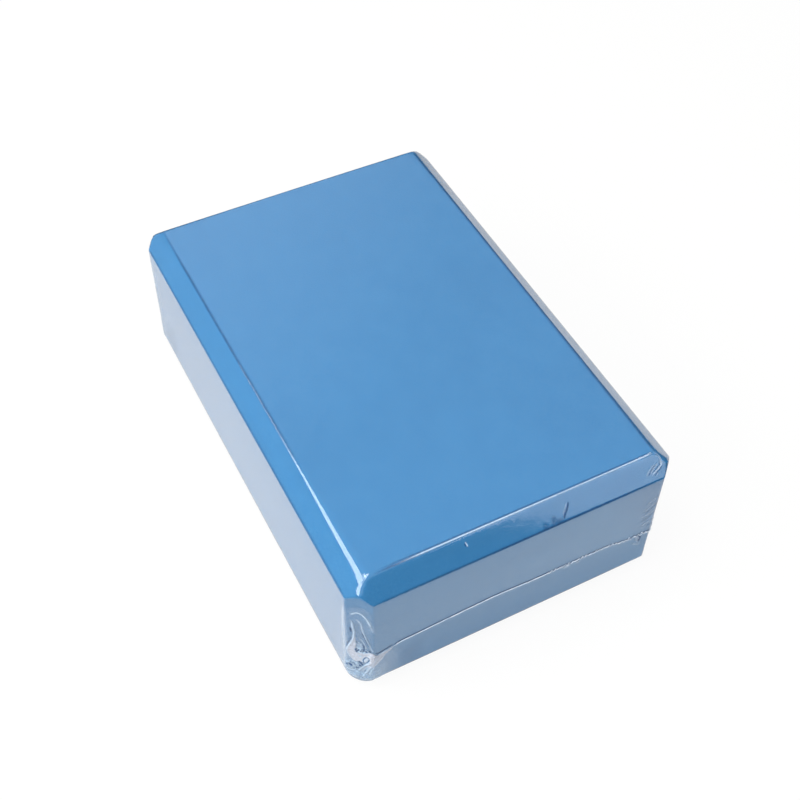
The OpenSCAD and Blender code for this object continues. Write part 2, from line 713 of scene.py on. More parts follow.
def cut_edges(
    block: bpy.types.Object, form: BlockForm, distances: Sequence[float], pitch: float
) -> None:
    """Cuts the whole block on either side of its edges, and across its flats.

    Args:
        block: the piece.
        form: its shape.
        distances: distances of the cuts from an edge.
        pitch: spacing of the cuts across the flats.
    """
    activate(block)
    bpy.ops.object.mode_set(mode="EDIT")
    for axis in Axis:
        outer = form.half[axis.value]
        inner = outer - form.bevel
        near = [inner + d for d in both_ways(distances) if d < form.bevel / 2]
        near += [outer - d for d in distances if 0 < d < form.bevel / 2]
        flat = spread(0, inner - max(distances), pitch)[:-1]
        for place in both_ways(np.unique(np.round(near + list(flat), 3))):
            bisect(form.centre + np.array(axis.unit) * place, axis.unit)
    bpy.ops.object.mode_set(mode="OBJECT")


def cut_faces(block: bpy.types.Object, chosen: Array, cuts: List[Tuple[Array, Point3]]) -> None:
    """Makes the cuts through the chosen faces alone."""
    bpy.context.tool_settings.mesh_select_mode = (False, False, True)
    block.data.vertices.foreach_set("select", np.zeros(len(block.data.vertices), bool))
    block.data.edges.foreach_set("select", np.zeros(len(block.data.edges), bool))
    block.data.polygons.foreach_set("select", chosen)
    bpy.ops.object.mode_set(mode="EDIT")
    bpy.ops.mesh.hide(unselected=True)
    for place, direction in cuts:
        bisect(place, direction)
    bpy.ops.mesh.reveal(select=False)
    bpy.ops.object.mode_set(mode="OBJECT")


def refine(block: bpy.types.Object, form: BlockForm, region: Region) -> None:
    """Divides one region of the block more finely than the rest."""
    activate(block)
    cut_faces(block, region.touches(form, block), region.borders(form))
    cut_faces(block, region.holds(form, *face_centres(block)), region.cuts(form))


# -------------------------------------------------------------- film features

# How far the film may sink from its smooth place, and how far stand off it
LOWEST_LIFT = -0.06
HIGHEST_LIFT = 1.5
# A fold is left out beyond this many times its width
FOLD_REACH = 3.2
# Jitter of a crumple's cells in cells, slope of its facets, width of its rims
CELL_JITTER = 0.42
FACET_SLOPE = 0.3
RIM_WIDTH = 0.4
# How sharply a crumple ends
CRUMPLE_EDGE = 3.0
# Cover of a facet and what its rim adds, and the rim's own lift
FACET_COVER = 0.2
RIM_COVER = 0.4
RIM_LIFT = 0.15
# The highest that a facet may stand, and the level under which its rim gets painted shade
FACET_LIMIT = 1.1
SHADED_RIM_LEVEL = 0.35
# Cover between the streaks of a fan, what a streak adds, and how tones vary
STREAK_GAP = 0.45
STREAK_COVER = 0.75
STREAK_TINT = 0.3
# Share of a fan's length over which its far end dies away
FAN_FADE = 0.25
# A painted edge line is left out beyond this distance from its edge
EDGE_REACH = 3.0


class Look(Enum):
    """How a mark in the film looks: its cover and its tone. INK, DARK, DIM, DUSK and SHADE paint shade; GLINT
    paints a highlight; WHITE and PALE are whitened film that on ridges also paints a highlight.
    """

    WHITE = (0.8, 0.52)
    PALE = (0.5, 0.5)
    FAINT = (0.25, 0.48)
    BLUSH = (0.62, 0.95)
    MILKY = (0.35, 0.6)
    GLINT = (0.5, 0.49)
    INK = (1.0, 0.0)
    DARK = (0.5, 0.0)
    DIM = (0.28, 0.04)
    DUSK = (0.15, 0.06)
    SHADE = (0.12, 0.36)
    SHEER = (0.2, 0.5)
    HAZE = (0.12, 0.45)
    CLEAR = (0.0, 0.5)

    @property
    def cover(self) -> float:
        """How much the mark hides."""
        return self.value[0]

    @property
    def tone(self) -> float:
        """Its tone, from dark to white."""
        return self.value[1]


class Canvas:
    """What the film does at a set of places on the unrolled walls."""

    def __init__(self, run: Array, height: Array) -> None:
        """Starts with smooth, clear film."""
        self.run = run
        self.height = height
        self.swell = np.zeros(len(run))
        self.crest = np.zeros(len(run))
        self.cover = np.zeros(len(run))
        self._shade = np.zeros(len(run))

    def lay(self, lift: Array, cover: Array, tone: Any, swell: bool = False) -> None:
        """Adds one mark over those already there.

        Args:
            lift: how far it stands the film off the wall.
            cover: how much it hides of what lies behind.
            tone: 0 for painted shade in a crease, 0.5 for pale film, 1 for warm milky film.
            swell: whether other marks stand on top of it.
        """
        if swell:
            self.swell = self.swell + lift
        else:
            self.crest = np.where(np.abs(lift) > np.abs(self.crest), lift, self.crest)
        self._shade = self._shade * (1 - cover) + tone * cover
        self.cover = self.cover * (1 - cover) + cover

    def paint(self, strength: Array, lift: float, look: Look, swell: bool = False) -> None:
        """Adds a mark of one look and lift, as strong as given at each place."""
        self.lay(lift * strength, look.cover * strength, look.tone, swell)

    def thin(self, share: Array) -> None:
        """Lets only that share of the cover stay, with its tone."""
        self.cover = self.cover * share
        self._shade = self._shade * share

    @property
    def lift(self) -> Array:
        """How far the film stands off in all; it can't sink into the foam."""
        return np.clip(self.swell + self.crest, LOWEST_LIFT, HIGHEST_LIFT)

    @property
    def tone(self) -> Array:
        """The tone of what covers each place."""
        return np.clip(self._shade / np.maximum(self.cover, 1e-4), 0, 1)

    def places_from(self, centre: float, hand: int, around: float) -> Array:
        """(run, height) rows measured from a corner, mirrored if hand is -1."""
        run = (self.run - centre + around / 2) % around - around / 2
        return np.stack([hand * run, self.height], axis=1)


@dataclass(frozen=True)
class Fold:
    """A line in the film, drawn on the unrolled wall.

    Attributes:
        knots: (run, height) places that it passes through.
        look: its cover and tone.
        lift: how far its crest stands off the wall.
        width: how far it spreads to either side.
        fade: share of its length over which each end dies away.
    """

    knots: Line
    look: Look = Look.WHITE
    lift: float = 0.5
    width: float = 0.3
    fade: float = 0.15

    def lay_on(self, canvas: Canvas, places: Array) -> None:
        """Adds the fold to the canvas, at places given in its own terms."""
        line = curve_through(self.knots)
        near = close_to(places, line, FOLD_REACH * self.width)
        strength = np.zeros(len(places))
        gap, share = along_line(places[near], line)
        ends = np.clip(np.minimum(share, 1 - share) / self.fade, 0, 1) if self.fade else 1.0
        strength[near] = ends * np.exp(-((gap / self.width) ** 2))
        canvas.paint(strength, self.lift, self.look)


@dataclass(frozen=True)
class Patch:
    """An area of film that stands off the wall or has turned milky.

    Attributes:
        outline: (run, height) places round it, in order.
        look: its cover and tone.
        lift: how far it stands off the wall.
        soft: width of its edge.
    """

    outline: Line
    look: Look = Look.PALE
    lift: float = 0.4
    soft: float = 0.8

    def lay_on(self, canvas: Canvas, places: Array) -> None:
        """Adds the patch to the canvas, at places given in its own terms."""
        line = curve_through((*self.outline, self.outline[0]), steps=3)
        near = close_to(places, line, self.soft)
        strength = np.zeros(len(places))
        gap, _ = along_line(places[near], line)
        signed = np.where(within(places[near], line), gap, -gap)
        strength[near] = window(signed, self.soft / 2, np.inf, self.soft)
        canvas.paint(strength, self.lift, self.look, swell=True)


@dataclass(frozen=True)
class Fan:
    """Film drawn into a bundle of streaks between two lines from one start.

    Attributes:
        first: (run, height) places along one border.
        second: places along the other border.
        look: its cover and tone.
        lift: how far its streaks stand off the wall.
        streaks: wavelengths of the streaks, as shares of its breadth.
        soft: width of its edge.
        seed: draws the streaks.
    """

    first: Line
    second: Line
    look: Look = Look.BLUSH
    lift: float = 0.4
    streaks: Tuple[float, ...] = (0.19, 0.31, 0.47)
    soft: float = 0.7
    seed: int = 4

    def lay_on(self, canvas: Canvas, places: Array) -> None:
        """Adds the fan to the canvas, at places given in its own terms."""
        one, two = curve_through(self.first), curve_through(self.second)
        outline = np.vstack([one, two[::-1]])
        near = close_to(places, outline, 0.0)
        near[near] = within(places[near], outline)
        to_one, share = along_line(places[near], one)
        to_two, _ = along_line(places[near], two)
        across = to_one / np.maximum(to_one + to_two, 1e-6)
        edge = np.clip(np.minimum(to_one, to_two) / self.soft, 0, 1)
        edge = edge * np.clip((1 - share) / FAN_FADE, 0, 1)
        stripe = 0.5 + 0.5 * waves(across, self.streaks, self.seed)
        tint = waves(across, self.streaks, self.seed + 1)
        lift, cover, tone = np.zeros((3, len(places)))
        lift[near] = self.lift * edge * stripe
        cover[near] = self.look.cover * edge * (STREAK_GAP + STREAK_COVER * stripe)
        tone[near] = self.look.tone + STREAK_TINT * tint
        canvas.lay(lift, cover, np.clip(tone, STREAK_TINT, 1.0), swell=True)


@dataclass(frozen=True)
class Crumple:
    """A patch of small tilted facets with rims between them; low facets get painted shade on their rims.

    Attributes:
        middle: (run, height) of its middle.
        size: half its width and half its height.
        cell: width of a facet.
        lift: how far the facets stand off.
        seed: draws the pattern.
    """

    middle: Point2
    size: Point2
    cell: float = 2.0
    lift: float = 0.6
    seed: int = 7

    def lay_on(self, canvas: Canvas, places: Array) -> None:
        """Adds the facets to the canvas, at places given in its own terms."""
        middle, size = np.array(self.middle), np.array(self.size)
        inside = 1 - np.linalg.norm((places - middle) / size, axis=1)
        mask = np.clip(inside * CRUMPLE_EDGE, 0, 1)
        near = mask > 0
        if not near.any():
            return
        draw = np.random.default_rng(self.seed)
        columns = np.arange(-size[0], size[0] + self.cell, self.cell)
        rows = np.arange(-size[1], size[1] + self.cell, self.cell)
        seeds = middle + np.array([[c, r] for r in rows for c in columns])
        seeds = seeds + draw.uniform(-CELL_JITTER, CELL_JITTER, seeds.shape) * self.cell
        tilt = draw.normal(0, FACET_SLOPE, seeds.shape)
        level = draw.uniform(0.1, 1.0, len(seeds))
        gaps = np.linalg.norm(places[near][:, None, :] - seeds[None, :, :], axis=2)
        order = np.argsort(gaps, axis=1)[:, :2]
        index = np.arange(len(order))
        own = order[:, 0]
        rim = np.exp(-(((gaps[index, order[:, 1]] - gaps[index, own]) / RIM_WIDTH) ** 2))
        facet = level[own] * self.lift + ((places[near] - seeds[own]) * tilt[own]).sum(axis=1)
        lift, cover, tone = np.zeros((3, len(places)))
        lift[near] = mask[near] * np.clip(facet + RIM_LIFT * rim, 0, FACET_LIMIT)
        cover[near] = mask[near] * (FACET_COVER + RIM_COVER * rim)
        tone[near] = 0.5 - 0.5 * (rim > 0.5) * (level[own] < SHADED_RIM_LEVEL)
        canvas.lay(lift, cover, tone)


@dataclass(frozen=True)
class PaintedEdgeLine:
    """Fine lines of painted highlight and painted shade that follow an edge of the block.

    Attributes:
        start: a place on the edge, in the block's frame.
        end: another place on it.
        across: the direction in which offsets from the edge count.
        lines: the offset, half width and look of each line.
        fade: share of its length over which each end dies away.
    """

    start: Point3
    end: Point3
    across: Point3
    lines: Tuple[Tuple[float, float, Look], ...]
    fade: float = 0.02

    def lay_on(self, canvas: Canvas, local: Array) -> None:
        """Adds the lines to the canvas, at places in the block's frame."""
        start, way = np.array(self.start), np.array(self.end) - np.array(self.start)
        length = np.linalg.norm(way)
        along = (local - start) @ way / length
        aside = local - start - along[:, None] * way / length
        near = np.linalg.norm(aside, axis=1) < EDGE_REACH
        ends = np.clip(np.minimum(along, length - along) / (self.fade * length), 0, 1)
        offset = aside @ np.array(self.across) / np.linalg.norm(self.across)
        for middle, width, look in self.lines:
            strength = near * ends * np.exp(-(((offset - middle) / width) ** 2))
            canvas.paint(strength, 0.0, look)


Mark = Union[Fold, Patch, Fan, Crumple]

# painted highlight along the top of the +X bevel with painted shade beside it, and painted shade along other
# edges; at the bottom edges it stands in for the shadow at the block's foot
PAINTED_EDGE_LINES: Tuple[PaintedEdgeLine, ...] = (
    PaintedEdgeLine((106.7, -60, 37.5), (106.7, 65, 37.5), (1, 0, -1),
             ((-0.5, 0.28, Look.DIM), (0.0, 0.28, Look.GLINT))),
    PaintedEdgeLine((106.7, -61, 37.5), (106.7, 20, 37.5), (1, 0, -1), ((0.0, 0.24, Look.GLINT),), fade=0.1),
    PaintedEdgeLine((115, -67, 29.2), (115, -8, 29.2), (0, 0, 1), ((0.25, 0.32, Look.DIM),), fade=0.15),
    PaintedEdgeLine((115, -22, 29.2), (115, 67, 29.2), (0, 0, 1), ((0.25, 0.32, Look.DARK),), fade=0.15),
    PaintedEdgeLine((-106, -75, 29.2), (107, -75, 29.2), (0, 0, 1), ((0.3, 0.45, Look.DUSK),)),
    PaintedEdgeLine((106.7, 75, -29), (106.7, 75, 29), (1, 0, 0), ((0.2, 0.6, Look.DARK),), fade=0.05),
    PaintedEdgeLine((-106, 66.7, 37.5), (106, 66.7, 37.5), (0, 1, -1), ((-0.2, 0.5, Look.DIM),)),
    PaintedEdgeLine((-112, -66.7, 37.5), (52, -66.7, 37.5), (0, -1, -1), ((0.0, 0.5, Look.DIM),), fade=0.15),
    PaintedEdgeLine((-115, -66, 29.2), (-115, 66, 29.2), (0, 0, 1), ((0.0, 0.5, Look.DIM),)),
    PaintedEdgeLine((-106, 75, 29.2), (106, 75, 29.2), (0, 0, 1), ((0.0, 0.5, Look.DIM),)),
    PaintedEdgeLine((115, -64, -29.2), (115, 66, -29.2), (0, 0, 1), ((-0.25, 0.6, Look.DARK),), fade=0.05),
    PaintedEdgeLine((-106, -75, -29.2), (104, -75, -29.2), (0, 0, 1), ((-0.25, 0.6, Look.DARK),), fade=0.05),
)

# pale and white folds are whitened film that on their ridges also paints a highlight; ink, dark and dim marks
# are painted shade in folds and beside them
GATHER_MARKS: Tuple[Mark, ...] = (
    # the pale foot of the corner, which bulges, and the film bowed off the strip
    Patch(((-8.5, 12.5), (-6.0, 19.0), (-3.0, 17.0), (0.5, 14.0), (4.5, 16.5), (10.0, 20.0),
           (10.4, 14.0), (9.0, 7.0), (6.0, 2.0), (0.0, 0.0), (-6.0, 3.0)), Look.SHEER, 0.3, 5.0),
    Patch(((-9.0, 12.0), (-8.0, 21.0), (4.0, 25.0), (15.0, 26.0), (17.0, 18.0), (14.0, 6.0), (4.0, 1.0),
           (-6.0, 2.0)), Look.SHEER, 0.0, 9.0),
    Patch(((-4.6, 9.6), (0.0, 11.5), (4.6, 9.8), (5.2, 5.0), (0.0, 1.5), (-5.2, 5.0)), Look.CLEAR, 0.5, 3.4),
    Patch(((-5.0, 32.0), (-4.4, 44.0), (-3.0, 52.0), (-0.6, 56.0), (2.2, 53.4), (4.2, 47.0),
           (6.0, 38.0), (6.2, 31.0), (3.0, 26.0), (-2.0, 26.0)), Look.CLEAR, 0.1, 4.5),
    Fold(((-6.0, 66.0), (-6.5, 54.0), (-7.2, 44.0), (-7.4, 34.0), (-6.5, 28.0)), Look.FAINT, 0.15, 0.4),
    Fold(((-7.0, 61.0), (-7.2, 48.0), (-7.0, 36.0), (-6.6, 24.0), (-5.6, 17.0)), Look.MILKY, 0.0, 1.6),
    Patch(((-4.6, 60.0), (0.0, 63.0), (4.6, 60.0), (5.2, 40.0), (5.0, 22.0), (-5.0, 22.0), (-5.2, 40.0)),
          Look.HAZE, 0.0, 3.0),
    # the arch over the gather
    Fold(((-4.0, 55.6), (-3.0, 56.9), (-1.8, 58.3), (-0.6, 59.0), (0.8, 58.7), (1.9, 57.6), (3.2, 55.5),
          (4.2, 53.0), (4.9, 51.0)), Look.WHITE, 0.1, 0.34, 0.12),
    Fold(((3.0, 55.4), (4.3, 52.4), (5.4, 49.4), (6.0, 46.4)), Look.FAINT, 0.08, 0.8),
    # the two long folds, and painted shade between them
    Patch(((-2.4, 52.0), (-0.2, 53.0), (0.8, 48.0), (1.8, 42.0), (3.0, 36.6), (1.6, 34.0), (-1.6, 34.0),
           (-2.0, 40.0), (-2.0, 46.0)), Look.SHADE, -0.1, 0.9),
    Fold(((-3.1, 39.4), (-4.1, 35.8), (-5.2, 32.2), (-5.7, 29.4)), Look.DIM, 0.0, 0.34),
    Fold(((-3.3, 52.8), (-2.8, 50.3), (-2.5, 47.0), (-2.1, 43.5), (-2.2, 41.0), (-2.7, 37.8), (-3.6, 35.0),
          (-4.6, 31.9), (-5.1, 29.4), (-5.0, 27.0), (-4.5, 24.8), (-3.9, 22.6), (-3.3, 21.2)),
         Look.WHITE, 0.45, 0.36, 0.1),
    Fold(((-1.4, 53.6), (-0.6, 54.1), (0.2, 53.2), (0.8, 51.4), (1.3, 48.6), (1.8, 45.7), (2.4, 42.8),
          (3.2, 40.0), (4.1, 37.2), (4.9, 34.6), (5.5, 32.7), (6.3, 31.2)), Look.PALE, 0.4, 0.38, 0.1),
    Fold(((1.1, 45.2), (1.7, 43.0), (2.4, 40.8), (3.1, 38.6), (3.7, 36.8), (4.3, 34.6)),
         Look.DARK, -0.1, 0.32),
    Fold(((-0.4, 39.6), (0.4, 39.8), (1.3, 38.6), (2.0, 37.0), (2.7, 34.4), (2.9, 32.6)),
         Look.PALE, 0.3, 0.3),
    Fold(((-0.9, 37.6), (0.2, 36.6), (1.0, 34.8), (1.4, 32.8)), Look.FAINT, 0.3, 0.3),
    Fold(((-3.7, 46.2), (-3.4, 43.2)), Look.DARK, -0.1, 0.34),
    # pale blue film over the pocket between them
    Patch(((-0.9, 36.2), (1.0, 36.4), (2.2, 33.2), (1.8, 31.2), (0.6, 30.4), (-0.9, 31.6)),
          Look.FAINT, 0.2, 0.6),
    # milky film to the left, under the pocket and out to the seam
    Patch(((-2.0, 41.0), (-2.8, 37.6), (-3.9, 34.0), (-4.9, 30.4), (-5.1, 28.2), (-4.5, 25.6), (-3.6, 23.2),
           (-2.9, 21.2), (-1.4, 20.4), (0.2, 21.6), (1.4, 21.0), (4.4, 20.4), (5.8, 24.0), (6.2, 29.4),
           (4.4, 30.6), (2.4, 29.6), (1.6, 28.4), (0.8, 29.0), (0.2, 28.0), (-0.4, 28.6), (-1.2, 27.8),
           (-1.9, 29.6), (-1.6, 31.8), (-1.4, 34.4), (-1.6, 36.8), (-1.8, 40.0)), Look.BLUSH, 0.3, 0.5),
    Fan(((14.9, 30.2), (13.9, 29.4), (12.1, 29.0), (10.8, 28.9), (9.8, 28.9), (8.9, 28.4), (8.0, 28.0),
         (7.0, 28.3), (5.6, 30.2), (4.4, 30.4), (3.4, 28.6), (4.0, 25.4), (4.4, 22.8), (3.3, 20.7),
         (1.9, 18.5), (0.5, 15.7), (-0.6, 13.0)),
        ((14.9, 29.4), (13.7, 27.6), (12.1, 26.3), (10.8, 25.2), (10.1, 23.4), (8.6, 21.5), (7.0, 19.8),
         (5.6, 18.4), (4.8, 16.2), (4.0, 13.6), (3.2, 11.2), (2.4, 9.0)),
        streaks=(0.13, 0.21, 0.37), soft=0.5),
    Fold(((14.6, 30.1), (12.8, 29.1), (11.6, 28.9), (10.4, 28.9), (9.4, 28.7), (8.6, 28.2), (7.6, 28.2)),
         Look.WHITE, 0.3, 0.28, 0.05),
    Fold(((14.4, 31.4), (12.0, 30.2), (10.0, 29.9), (8.8, 29.4), (7.6, 29.3), (6.6, 30.6)),
         Look.DARK, -0.1, 0.3),
    # small crumples, and streaks that run down from the fan
    Crumple((-3.0, 17.4), (3.8, 3.6), 1.1, 0.2, 7),
    Crumple((1.2, 31.0), (3.2, 2.2), 1.0, 0.15, 9),
    Fold(((4.7, 23.2), (3.4, 20.7), (1.9, 18.3), (0.5, 15.5), (-0.6, 12.9)), Look.WHITE, 0.25, 0.3),
    Fold(((5.4, 20.6), (4.2, 17.6), (3.2, 15.0), (2.3, 12.2), (1.4, 9.6)), Look.WHITE, 0.25, 0.28),
    Fold(((3.6, 18.4), (2.6, 15.3), (1.9, 13.0)), Look.DARK, 0.0, 0.26),
    Fold(((6.6, 19.8), (5.5, 17.5), (4.8, 15.1), (4.1, 12.0)), Look.PALE, 0.2, 0.32),
    Fold(((5.0, 18.6), (4.2, 15.4), (3.4, 12.6)), Look.DIM, 0.0, 0.28),
    Fold(((-5.9, 13.6), (-4.0, 12.4), (-2.0, 13.0), (0.0, 11.6)), Look.PALE, 0.15, 0.36),
    Fold(((-0.8, 28.5), (-0.2, 29.4), (0.2, 28.4), (0.9, 29.3), (1.7, 28.7), (2.0, 29.9), (2.5, 30.6)),
         Look.WHITE, 0.12, 0.26, 0.05),
    # a small ring, and short dashes beside it, drawn in painted shade
    Fold(((1.5, 22.9), (2.2, 25.0), (3.0, 26.2), (3.8, 25.9), (4.2, 24.7), (3.6, 22.7), (2.7, 21.3),
          (1.9, 21.2), (1.5, 22.9)), Look.INK, -0.1, 0.32, 0.0),
    Patch(((2.3, 23.3), (3.0, 25.0), (3.5, 24.4), (2.7, 22.6)), Look.PALE, 0.1, 0.4),
    Fold(((-4.2, 17.6), (-3.3, 15.8)), Look.INK, -0.1, 0.38, 0.1),
    Fold(((-3.4, 18.2), (-2.5, 19.0)), Look.DARK, -0.1, 0.28),
    Fold(((-0.5, 20.7), (0.4, 19.9), (1.1, 18.7), (1.2, 17.8)), Look.INK, -0.1, 0.3, 0.1),
    Fold(((-0.2, 18.0), (0.4, 16.8)), Look.INK, -0.1, 0.24),
    Fold(((-1.9, 15.3), (-0.2, 15.8)), Look.INK, -0.1, 0.32),
    Fold(((-2.3, 18.9), (-1.6, 17.3)), Look.DARK, -0.1, 0.28),
    Fold(((-5.5, 17.9), (-5.7, 15.4)), Look.DIM, -0.1, 0.36),
    Fold(((-1.9, 29.6), (-1.5, 30.8), (-0.9, 31.4)), Look.INK, -0.1, 0.26),
    Fold(((-1.7, 29.3), (-0.7, 28.4)), Look.INK, -0.1, 0.24),
    Fold(((-0.5, 31.2), (-0.3, 29.6)), Look.DARK, -0.1, 0.28),
    Fold(((1.6, 32.7), (2.5, 31.6)), Look.INK, -0.1, 0.34),
    Fold(((2.8, 31.1), (3.2, 29.9)), Look.INK, -0.1, 0.3),
    Fold(((4.2, 31.8), (4.5, 30.6)), Look.INK, -0.1, 0.28),
    Fold(((1.2, 35.2), (2.0, 34.8), (1.8, 33.0)), Look.DARK, -0.1, 0.28),
    Fold(((-1.4, 36.8), (-0.8, 35.4)), Look.DARK, -0.1, 0.34),
    Fold(((-0.6, 27.0), (0.3, 25.4), (0.9, 26.9)), Look.DARK, -0.1, 0.28),
    Fold(((3.9, 28.7), (4.5, 27.7)), Look.DARK, -0.1, 0.28),
)

WALL_MARKS: Tuple[Mark, ...] = (
    # wrinkles that fan out on the bevel at the +X, +Y corner, drawn as lines of painted shade and painted
    # highlight
    Fold(((137.6, 71.7), (135.7, 71.1), (133.9, 70.3), (132.2, 69.3)), Look.DIM, 0.0, 0.18),
    Fold(((139.4, 71.4), (137.6, 70.7), (135.1, 69.8)), Look.DIM, 0.0, 0.18),
    Fold(((139.7, 70.6), (138.2, 69.95), (136.4, 69.3), (135.2, 68.7)), Look.DIM, 0.0, 0.2),
    Fold(((137.2, 72.3), (135.5, 71.6), (134.0, 70.95), (132.6, 70.2), (131.4, 69.4)),
         Look.FAINT, 0.006, 0.18),
    Fold(((138.2, 71.8), (136.2, 71.1), (134.7, 70.4), (133.4, 69.5)), Look.PALE, 0.006, 0.16),
    Fold(((141.2, 72.2), (139.5, 71.1), (137.9, 70.4), (136.2, 69.9), (134.2, 69.1)),
         Look.WHITE, 0.006, 0.17),
    Fold(((137.3, 69.2), (135.9, 68.5)), Look.FAINT, 0.0, 0.18),
    Fold(((140.2, 72.1), (139.2, 71.5)), Look.INK, 0.0, 0.26),
    Fold(((136.4, 75.0), (138.0, 74.9), (139.2, 74.2), (140.0, 73.2), (140.1, 72.2)), Look.PALE, 0.0, 0.24),
    # a crease and a nick on the +X bevel, drawn in painted shade and painted highlight, and darker blotches
    Fold(((94.9, 72.2), (94.8, 71.5), (94.0, 70.5), (92.9, 69.6), (91.8, 68.7), (91.2, 67.8)),
         Look.INK, 0.0, 0.19),
    Fold(((94.1, 72.3), (94.0, 71.7), (93.2, 70.8), (92.1, 69.9), (91.0, 69.0)), Look.FAINT, 0.0, 0.22),
    Fold(((48.75, 72.95), (49.05, 71.95)), Look.WHITE, 0.0, 0.19, 0.0),
    Fold(((48.2, 72.7), (48.4, 72.2)), Look.DARK, 0.0, 0.2, 0.0),
    Patch(((85.2, 67.1), (86.2, 69.4), (87.6, 70.0), (88.4, 68.5), (90.0, 68.7), (90.8, 67.0)),
          Look.DUSK, 0.0, 1.1),
    Patch(((81.4, 67.0), (82.0, 68.7), (83.2, 69.0), (84.2, 67.2)), Look.DUSK, 0.0, 1.0),
    # stretch lines at the end of the +X wall: lines of painted shade between paler ones
    Fold(((141.0, 50.4), (137.8, 48.2), (135.3, 46.2), (133.2, 45.0)), Look.DUSK, 0.0, 0.6),
    Fold(((141.0, 44.4), (137.5, 42.3), (136.0, 40.8), (134.3, 39.9), (132.0, 40.1)), Look.DUSK, 0.0, 0.6),
    Fold(((141.0, 36.2), (138.0, 34.8), (135.8, 34.0)), Look.DUSK, 0.0, 0.5),
    Fold(((141.0, 55.4), (137.7, 53.9), (135.9, 52.8), (133.9, 51.6)), Look.SHEER, 0.015, 0.6),
    Fold(((141.0, 51.4), (137.8, 49.8), (136.2, 49.1), (134.4, 47.6), (132.2, 46.9)),
         Look.FAINT, 0.015, 0.45),
    Fold(((141.0, 46.4), (137.8, 44.7), (136.7, 43.9), (134.3, 43.3), (131.8, 42.5)),
         Look.FAINT, 0.015, 0.45),
    Fold(((141.0, 38.6), (138.0, 37.5), (136.6, 36.9), (134.6, 36.3), (133.0, 35.1)),
         Look.FAINT, 0.015, 0.4),
    # the vent hole under the seam, with painted shade in it, and bubbles in the seal
    Patch(((131.8, 28.9), (134.2, 28.2), (135.0, 26.4), (134.4, 23.2), (133.2, 24.4), (132.4, 26.4)),
          Look.FAINT, 0.0, 0.7),
    Fold(((133.4, 28.5), (134.8, 27.0), (134.6, 25.2), (134.2, 23.4)), Look.INK, -0.05, 0.27),
    Fold(((131.4, 24.2), (132.6, 22.6), (134.4, 21.7), (136.6, 21.4)), Look.FAINT, 0.05, 0.4),
    Fold(((95.7, 30.6), (96.7, 30.2)), Look.WHITE, 0.3, 0.6, 0.0),
    Fold(((97.6, 31.2), (98.4, 29.8)), Look.PALE, 0.1, 0.36, 0.0),
    Fold(((102.1, 29.9), (102.6, 29.9)), Look.WHITE, 0.2, 0.5, 0.0),
)


@dataclass(frozen=True)
class Seam:
    """The heat seal: a fine bead on a low tent of film, round three walls.

    Attributes:
        knots: (run, height) places along it.
        wander: how it strays from the line through them.
        end_fade: run over which each end of the tent dies away.
        tent_lift: how far the film is drawn up to the bead.
        tent_width: how far that reaches to either side.
        tent_ripple: how the lift varies, as a share.
        uneven: (from, to) stretches where the seal is bumpy.
        uneven_fade: run over which each stretch comes in and dies away.
        zigzag: how far the bead strays there.
        painted_shade_lines: offset, half width and cover of the lines of painted shade beside it.
        painted_shade_tone: the tone of that painted shade.
    """

    knots: Line = (
        (14.7, 29.6), (18.0, 31.1), (24.0, 31.4), (40.0, 32.3), (62.0, 33.2), (80.0, 32.2),
        (110.0, 32.0), (118.0, 31.6), (121.3, 30.8), (123.9, 30.1), (125.2, 30.2), (126.4, 29.5),
        (128.4, 30.0), (129.6, 28.9), (130.8, 30.0), (132.4, 29.4), (135.4, 29.7), (138.6, 29.0),
        (151.0, 29.4), (200.0, 31.8), (260.0, 33.0), (320.0, 32.0), (364.0, 30.4), (378.0, 30.0),
        (400.0, 31.6), (450.0, 32.6), (488.0, 31.4), (500.6, 29.6),
    )
    wander: Ripple = Ripple(0.06, (5.3, 8.1, 13.7), 3)
    end_fade: float = 1.0
    tent_lift: float = 0.26
    tent_width: float = 0.7
    tent_ripple: Ripple = Ripple(0.2, (3.7, 6.9, 11.0), 8)
    uneven: Tuple[Point2, ...] = ((84.0, 146.0),)
    uneven_fade: float = 6.0
    zigzag: Ripple = Ripple(0.9, (1.7, 2.2), 5)
    painted_shade_lines: Tuple[Point3, ...] = ((0.5, 0.25, 0.5), (-0.52, 0.28, 0.2))
    painted_shade_tone: float = 0.06

    def middle(self, run: Array) -> Array:
        """Height of the tent's middle at each run."""
        curve = curve_through(self.knots, steps=8)
        return np.interp(run, curve[:, 0], curve[:, 1]) + self.wander.at(run)

    def line(self, run: Array) -> Array:
        """Height of the bead at each run, which zigzags where the seal is bumpy."""
        return self.middle(run) + self.rough(run) * self.zigzag.at(run)

    def rough(self, run: Array) -> Array:
        """1 where the seal is bumpy, 0 where it is plain."""
        fade = self.uneven_fade
        return sum(window(run, low + fade, high, fade) for low, high in self.uneven)

    def crest(self, run: Array) -> Array:
        """Height of the tent off the wall at each run."""
        first, last = self.knots[0][0], self.knots[-1][0]
        sealed = window(run, first + self.end_fade, last - self.end_fade, self.end_fade)
        return sealed * self.tent_lift * (1 + self.tent_ripple.at(run))

    def lay_on(self, canvas: Canvas) -> None:
        """Adds the tent, and the painted shade beside it, to the canvas."""
        off = canvas.height - self.middle(canvas.run)
        crest = self.crest(canvas.run)
        sealed = np.clip(crest / self.tent_lift, 0, 1)
        canvas.lay(crest * np.exp(-np.abs(off) / self.tent_width), 0 * crest, 0.5, swell=True)
        shade = sum(deep * np.exp(-(((off - aside) / width) ** 2)) for aside, width, deep in self.painted_shade_lines)
        canvas.lay(0 * crest, shade * sealed, self.painted_shade_tone)


# ------------------------------------------------------------------- finishes


